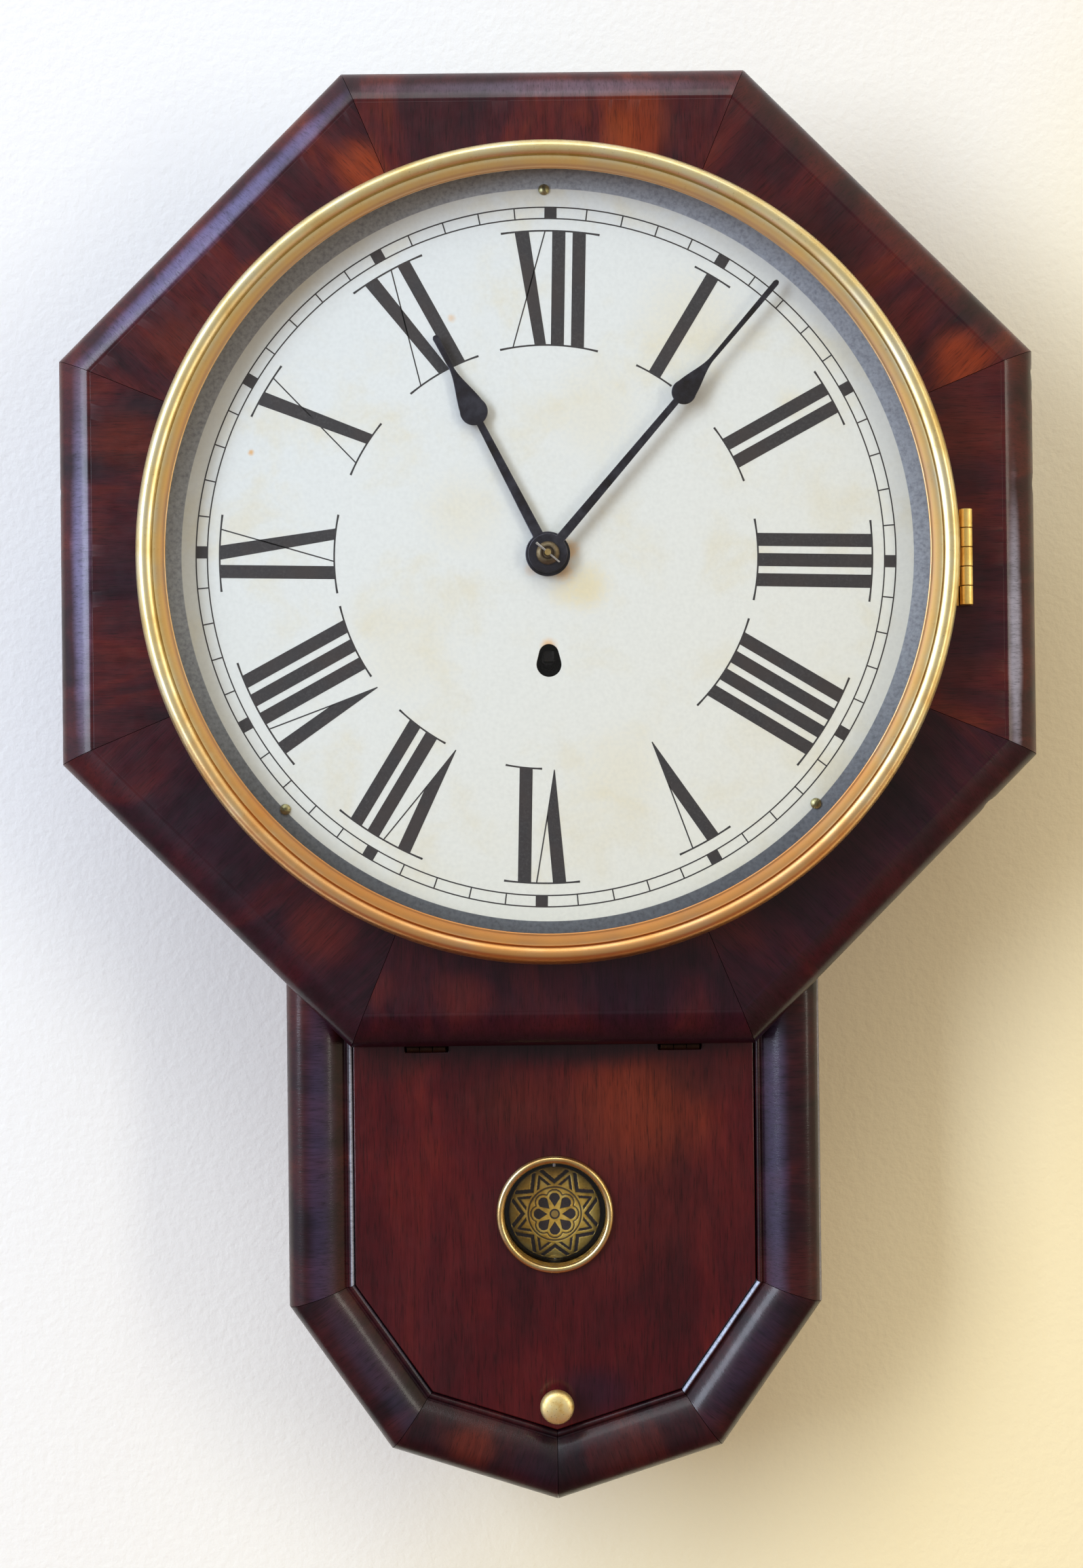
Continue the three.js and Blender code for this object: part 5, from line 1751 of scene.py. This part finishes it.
def bobPattern(x, y, radius):  # 1 where the pressing is filled in dark
    look = bobLook
    r, angle = math.hypot(x, y) / radius, math.atan2(x, y)
    sector = math.pi / 4
    near = (angle + sector / 2) % sector - sector / 2  # from the nearest petal's middle, petals at 0
    if r < look["boss"]:
        return 0.65 if r < look["boss"] - look["bossLine"] else 1
    across, along = r * math.sin(near), r * math.cos(near)
    if look["petalFrom"] < along < look["petalTo"]:
        share = (along - look["petalFrom"]) / (look["petalTo"] - look["petalFrom"])
        waist = look["petalWaist"]
        half = look["petalWidth"] * share / waist
        if share > waist:
            half = look["petalWidth"] * math.sqrt(1 - ((share - waist) / (1 - waist)) ** 2)
        if abs(across) < half:
            return 1
    scallop = look["scallop"] - look["scallopDip"] * (abs(near) / (sector / 2)) ** 2.2
    if abs(r - scallop) < look["line"] or abs(r - look["circle"]) < look["line"]:
        return 0.9
    # the star's zig-zag: valleys over the petals and tips between them
    valley = (0.0, look["valley"])
    tip = (look["tip"] * math.sin(sector / 2), look["tip"] * math.cos(sector / 2))
    direction = Vector((tip[0] - valley[0], tip[1] - valley[1])).normalized()
    side = Vector((abs(across) - valley[0], along - valley[1]))
    distance = side.y * direction.x - side.x * direction.y  # over 0 outside the star
    along = side.dot(direction)
    total = math.hypot(tip[0] - valley[0], tip[1] - valley[1])
    gold = look["gold"]
    if gold < distance < gold + look["band"] and r < look["rim"] and along < total * look["bandEnd"]:
        return 1
    inside = r > look["innerBandFrom"] and look["innerBandStart"] < along < total * look["innerBandEnd"]
    if -gold - look["innerBand"] < distance < -gold and inside:
        return 1
    return 0


def bobMaterial():
    # thin brass pressed over lead, its sunk lines filled with black wax: olive gold, dull in the lines
    material, tree = newMaterial("pressedBobBrass")
    place = addNode(tree, "ShaderNodeTexCoord").outputs["Object"]
    fill = addNode(tree, "ShaderNodeAttribute", {"attribute_name": "filled"}).outputs["Fac"]
    cloud = addNode(
        tree,
        "ShaderNodeTexNoise",
        inputs={"Vector": place, "Scale": perMetre(bobLook["cloud"]), "Detail": 5, "Roughness": 0.65},
    )
    speck = addNode(
        tree,
        "ShaderNodeTexNoise",
        inputs={"Vector": place, "Scale": perMetre(bobLook["speck"]), "Detail": 3, "Roughness": 0.7},
    )
    gold = addNode(
        tree,
        "ShaderNodeValToRGB",
        {"stops": [(0.32, "#c0943a"), (0.5, "#edc052"), (0.68, "#f9da7c")]},
        {0: cloud.outputs[0]},
    ).outputs[0]
    wax = addNode(
        tree, "ShaderNodeValToRGB", {"stops": [(0.35, "#1d1622"), (0.7, "#3a2a2a")]}, {0: speck.outputs[0]}
    ).outputs[0]
    colour = addNode(tree, "ShaderNodeMix", {"data_type": "RGBA"}, {0: fill, 6: gold, 7: wax}).outputs[2]
    metallic = addNode(
        tree,
        "ShaderNodeMath",
        {"operation": "MULTIPLY_ADD"},
        {0: fill, 1: -bobLook["metallic"], 2: bobLook["metallic"]},
    ).outputs[0]
    roughness = addNode(
        tree, "ShaderNodeMapRange", inputs={"Value": fill, "To Min": 0.42, "To Max": 0.7}
    ).outputs[0]
    bump = addNode(
        tree, "ShaderNodeBump", inputs={"Strength": 0.3, "Distance": 0.05 * mm, "Height": speck.outputs[0]}
    ).outputs[0]
    shader = addNode(
        tree,
        "ShaderNodeBsdfPrincipled",
        inputs={"Base Color": colour, "Metallic": metallic, "Roughness": roughness, "Normal": bump},
    )
    addNode(tree, "ShaderNodeOutputMaterial", inputs={"Surface": shader.outputs[0]})
    return material


def makeBob():
    box = span("pendulum_bob")
    radius, middle = box.right, (box.back + box.front) / 2
    half = (box.front - box.back) / 2

    def dome(distance):  # a little flatter than a half ellipse, so that it ends in a thin rim
        return half * math.sqrt(max(0.0, 1 - 0.94 * (distance / radius) ** 2))

    def relief(x, y):
        dark = bobPattern(x, y, radius)
        return -bobLook["depth"] * min(1, dark), dark

    rings, sides, backRings, rim = 84, 336, 12, 0.6
    edge = [(radius, rim), (radius, -rim)]
    for k in range(1, backRings):
        distance = radius * (1 - k / backRings)
        edge.append((distance, -dome(distance)))
    (points, faces), sunk = reliefDisc(radius * 0.992, dome, relief, rings, sides, edge)
    mesh = bpy.data.meshes.new("bob_pressing")
    mesh.from_pydata([(x * mm, y * mm, z * mm) for x, y, z in points], [], faces)
    filled = mesh.attributes.new("filled", "FLOAT", "POINT")
    filled.data.foreach_set("value", sunk)
    placeMesh(
        "bob_pressing",
        mesh,
        bobMaterial(),
        "pendulum",
        "aged_brass",
        stands=["pendulum_bob"],
        at=(0, (box.low + box.high) / 2, middle),
        sharp=50,
    )
    print("pendulum bob made")


# The pieces whose CAD shape stays: the carcass, the movement and what is hidden behind the dial and door
carcass = ["head_box", "backboard", "drop_side_left", "drop_side_right", "drop_bottom_board"]
brassFittings = ["door_catch_tongue", "glass_retaining_ring", "bezel_catch_spring"]
plates = ["movement_back_plate", "movement_front_plate", "suspension_cock"]
wheels = ["barrel_great_wheel", "centre_wheel_arbor", "third_wheel_arbor", "escape_wheel_arbor"]
motionWork = ["cannon_pinion", "minute_wheel", "hour_wheel"]
steelwork = ["hanger_plate", "click", "anchor_and_crutch", "suspension_spring", "pendulum_rod"]
keptFinishes = [
    (stainedPine, carcass),
    (agedBrass, brassFittings),
    (movementBrass, plates + wheels + motionWork),
    (polishedSteel, steelwork),
    # painted shade: the winding arbor nearly black
    (holeShadeSteel, ["winding_arbor"]),
]


def finishKept():
    for material, names in keptFinishes:
        for name in names:
            materials = frame["nodes"][name].data.materials
            materials.clear()
            materials.append(material)
    print("kept pieces finished")


# The room: a plaster wall, a tall cool window at the left and weaker light from the right and above.
# Wall and lamps stand in the part's own frame, in metres; the plaster's pebble and relief are millimetres.
wallLook = {"y": 0.0006, "low": -2.0, "high": 1.8, "half": 3.0, "pebble": 4, "relief": 0.9}


def wallMaterial():
    # trowelled plaster under matt paint: a fine pebbled skin. Its colour is painted light: cool by the window
    # and warm away from it, and grey at the far left as painted shade
    material, tree = newMaterial("paintedPlaster")
    place = addNode(tree, "ShaderNodeTexCoord").outputs["Object"]
    parts = addNode(tree, "ShaderNodeSeparateXYZ", inputs={0: place})
    lean = addNode(  # the colours run from the left to the right, and a little downwards
        tree,
        "ShaderNodeMath",
        {"operation": "MULTIPLY_ADD"},
        {0: parts.outputs[2], 1: -0.45, 2: parts.outputs[0]},
    ).outputs[0]
    across = addNode(
        tree, "ShaderNodeMapRange", inputs={"Value": lean, "From Min": -1.2, "From Max": 0.5}
    ).outputs[0]
    # painted light and shade: grey at the far left, then cool white by the window to warm cream at the right
    colour = addNode(
        tree,
        "ShaderNodeValToRGB",
        {
            "stops": [
                (0.0, "#a4a8ae"),
                (0.48, "#f6f7f7"),
                (0.62, "#f6f7f7"),
                (0.73, "#f7f5f0"),
                (0.81, "#faf7ee"),
                (0.89, "#fcf4d8"),
                (0.96, "#fbeec6"),
            ]
        },
        {0: across},
    ).outputs[0]
    pebble = addNode(
        tree,
        "ShaderNodeTexNoise",
        inputs={"Vector": place, "Scale": perMetre(wallLook["pebble"]), "Detail": 5, "Roughness": 0.6},
    )
    bump = addNode(
        tree,
        "ShaderNodeBump",
        inputs={"Strength": 0.6, "Distance": wallLook["relief"] * mm, "Height": pebble.outputs[0]},
    ).outputs[0]
    paint = addNode(tree, "ShaderNodeBsdfDiffuse", inputs={"Color": colour, "Roughness": 0.8, "Normal": bump})
    through = addNode(tree, "ShaderNodeBsdfTransparent")  # its back, so that the clock's back can be seen
    behind = addNode(tree, "ShaderNodeNewGeometry").outputs["Backfacing"]
    shader = addNode(
        tree, "ShaderNodeMixShader", inputs={0: behind, 1: paint.outputs[0], 2: through.outputs[0]}
    )
    addNode(tree, "ShaderNodeOutputMaterial", inputs={"Surface": shader.outputs[0]})
    return material


def makeRoom():
    y, low, high, half = wallLook["y"], wallLook["low"], wallLook["high"], wallLook["half"]
    mesh = bpy.data.meshes.new("wall")
    corners = [(-half, y, low), (half, y, low), (half, y, high), (-half, y, high)]
    mesh.from_pydata(corners, [], [(0, 1, 2, 3)])
    mesh.materials.append(wallMaterial())
    plane = bpy.data.objects.new("wall", mesh)
    scene.collection.objects.link(plane)
    plane.visible_shadow = False
    plane.visible_diffuse = False
    print("wall made")


# name, place, aimed at, width, height, power in watts, colour, strength of its mirror image
lamps = [
    ("window", (-1.7, -1.7, 0.4), (0, 0, -0.2), 0.7, 2.0, 48, "#e2eeff", 1.5),
    ("room", (1.6, -1.7, 0.0), (0, 0, -0.3), 0.3, 1.4, 9, "#fffcec", 0.5),
    ("ceiling", (-0.2, -1.4, 1.6), (0, 0, -0.2), 1.6, 0.7, 11, "#f4fdff", 0.7),
]


def aimed(place, target, roll=0.0):
    direction = Vector(target) - Vector(place)
    turn = direction.to_track_quat("-Z", "Y").to_matrix().to_4x4()
    return Matrix.Translation(Vector(place)) @ turn @ Matrix.Rotation(math.radians(roll), 4, "Z")


def makeLight():
    for name, place, target, width, height, power, colour, mirrored in lamps:
        light = bpy.data.lights.new(name, "AREA")
        light.shape = "RECTANGLE"
        light.size, light.size_y = width, height
        light.energy = power
        light.specular_factor = mirrored
        light.color = toLinear(colour)[:3]
        lamp = bpy.data.objects.new(name + "_lamp", light)
        scene.collection.objects.link(lamp)
        lamp.matrix_world = aimed(place, target)
    world = bpy.data.worlds.new("room")
    scene.world = world
    world.use_nodes = True
    tree = world.node_tree
    tree.nodes.clear()
    # pale walls around, cool at the left and warm at the right, a brown floor, and a darker room in front
    place = addNode(tree, "ShaderNodeTexCoord").outputs["Generated"]
    way = addNode(tree, "ShaderNodeSeparateXYZ", inputs={0: place})
    across = addNode(
        tree, "ShaderNodeMapRange", inputs={"Value": way.outputs[0], "From Min": -1.0, "From Max": 1.0}
    ).outputs[0]
    walls = addNode(
        tree,
        "ShaderNodeValToRGB",
        {"stops": [(0.1, "#e6ecff"), (0.5, "#ebe9e6"), (0.9, "#e6d2ae")]},
        {0: across},
    ).outputs[0]
    downwards = addNode(
        tree,
        "ShaderNodeMapRange",
        {"interpolation_type": "SMOOTHSTEP"},
        {"Value": way.outputs[2], "From Min": -0.1, "From Max": -0.7},
    ).outputs[0]
    around = addNode(
        tree, "ShaderNodeMix", {"data_type": "RGBA"}, {0: downwards, 6: walls, 7: toLinear("#8c5a4a")}
    ).outputs[2]
    power = addNode(
        tree,
        "ShaderNodeMapRange",
        {"interpolation_type": "SMOOTHSTEP"},
        {"Value": way.outputs[1], "From Min": -0.6, "From Max": -1.0, "To Min": 1.0, "To Max": 0.34},
    ).outputs[0]
    sky = addNode(tree, "ShaderNodeBackground", inputs={"Color": around, "Strength": power})
    white = addNode(tree, "ShaderNodeBackground", inputs={"Color": (1, 1, 1, 1), "Strength": 1.0})
    path = addNode(tree, "ShaderNodeLightPath").outputs["Is Camera Ray"]
    mixed = addNode(tree, "ShaderNodeMixShader", inputs={0: path, 1: sky.outputs[0], 2: white.outputs[0]})
    addNode(tree, "ShaderNodeOutputWorld", inputs={"Surface": mixed.outputs[0]})
    print("lamps and world made")


# The camera stands 0.9 m from the wall, level with the lower half of the dial, and leans over by a hair.
# Its place and aim are millimetres in the dial's frame.
view = {"place": (-5.1, -98.8, 897), "aim": (-3.7, -95.3, 98), "roll": -0.65, "lens": 44.12, "sensor": 36}


def makeCamera():
    camera = bpy.data.objects.new("camera", bpy.data.cameras.new("camera"))
    scene.collection.objects.link(camera)
    camera.data.sensor_width = view["sensor"]
    camera.data.lens = view["lens"]
    place = dialFrame @ (Vector(view["place"]) * mm)
    target = dialFrame @ (Vector(view["aim"]) * mm)
    camera.matrix_world = aimed(place, target, view["roll"])
    scene.camera = camera
    print("camera placed")


makeCamera()
makeHead()
makeDrop()
makeDoor()
makeDoorFittings()
makeBezel()
makeHinges()
makeDial()
makeDialScrews()
makeHands()
makeBob()
finishKept()
makeRoom()
makeLight()
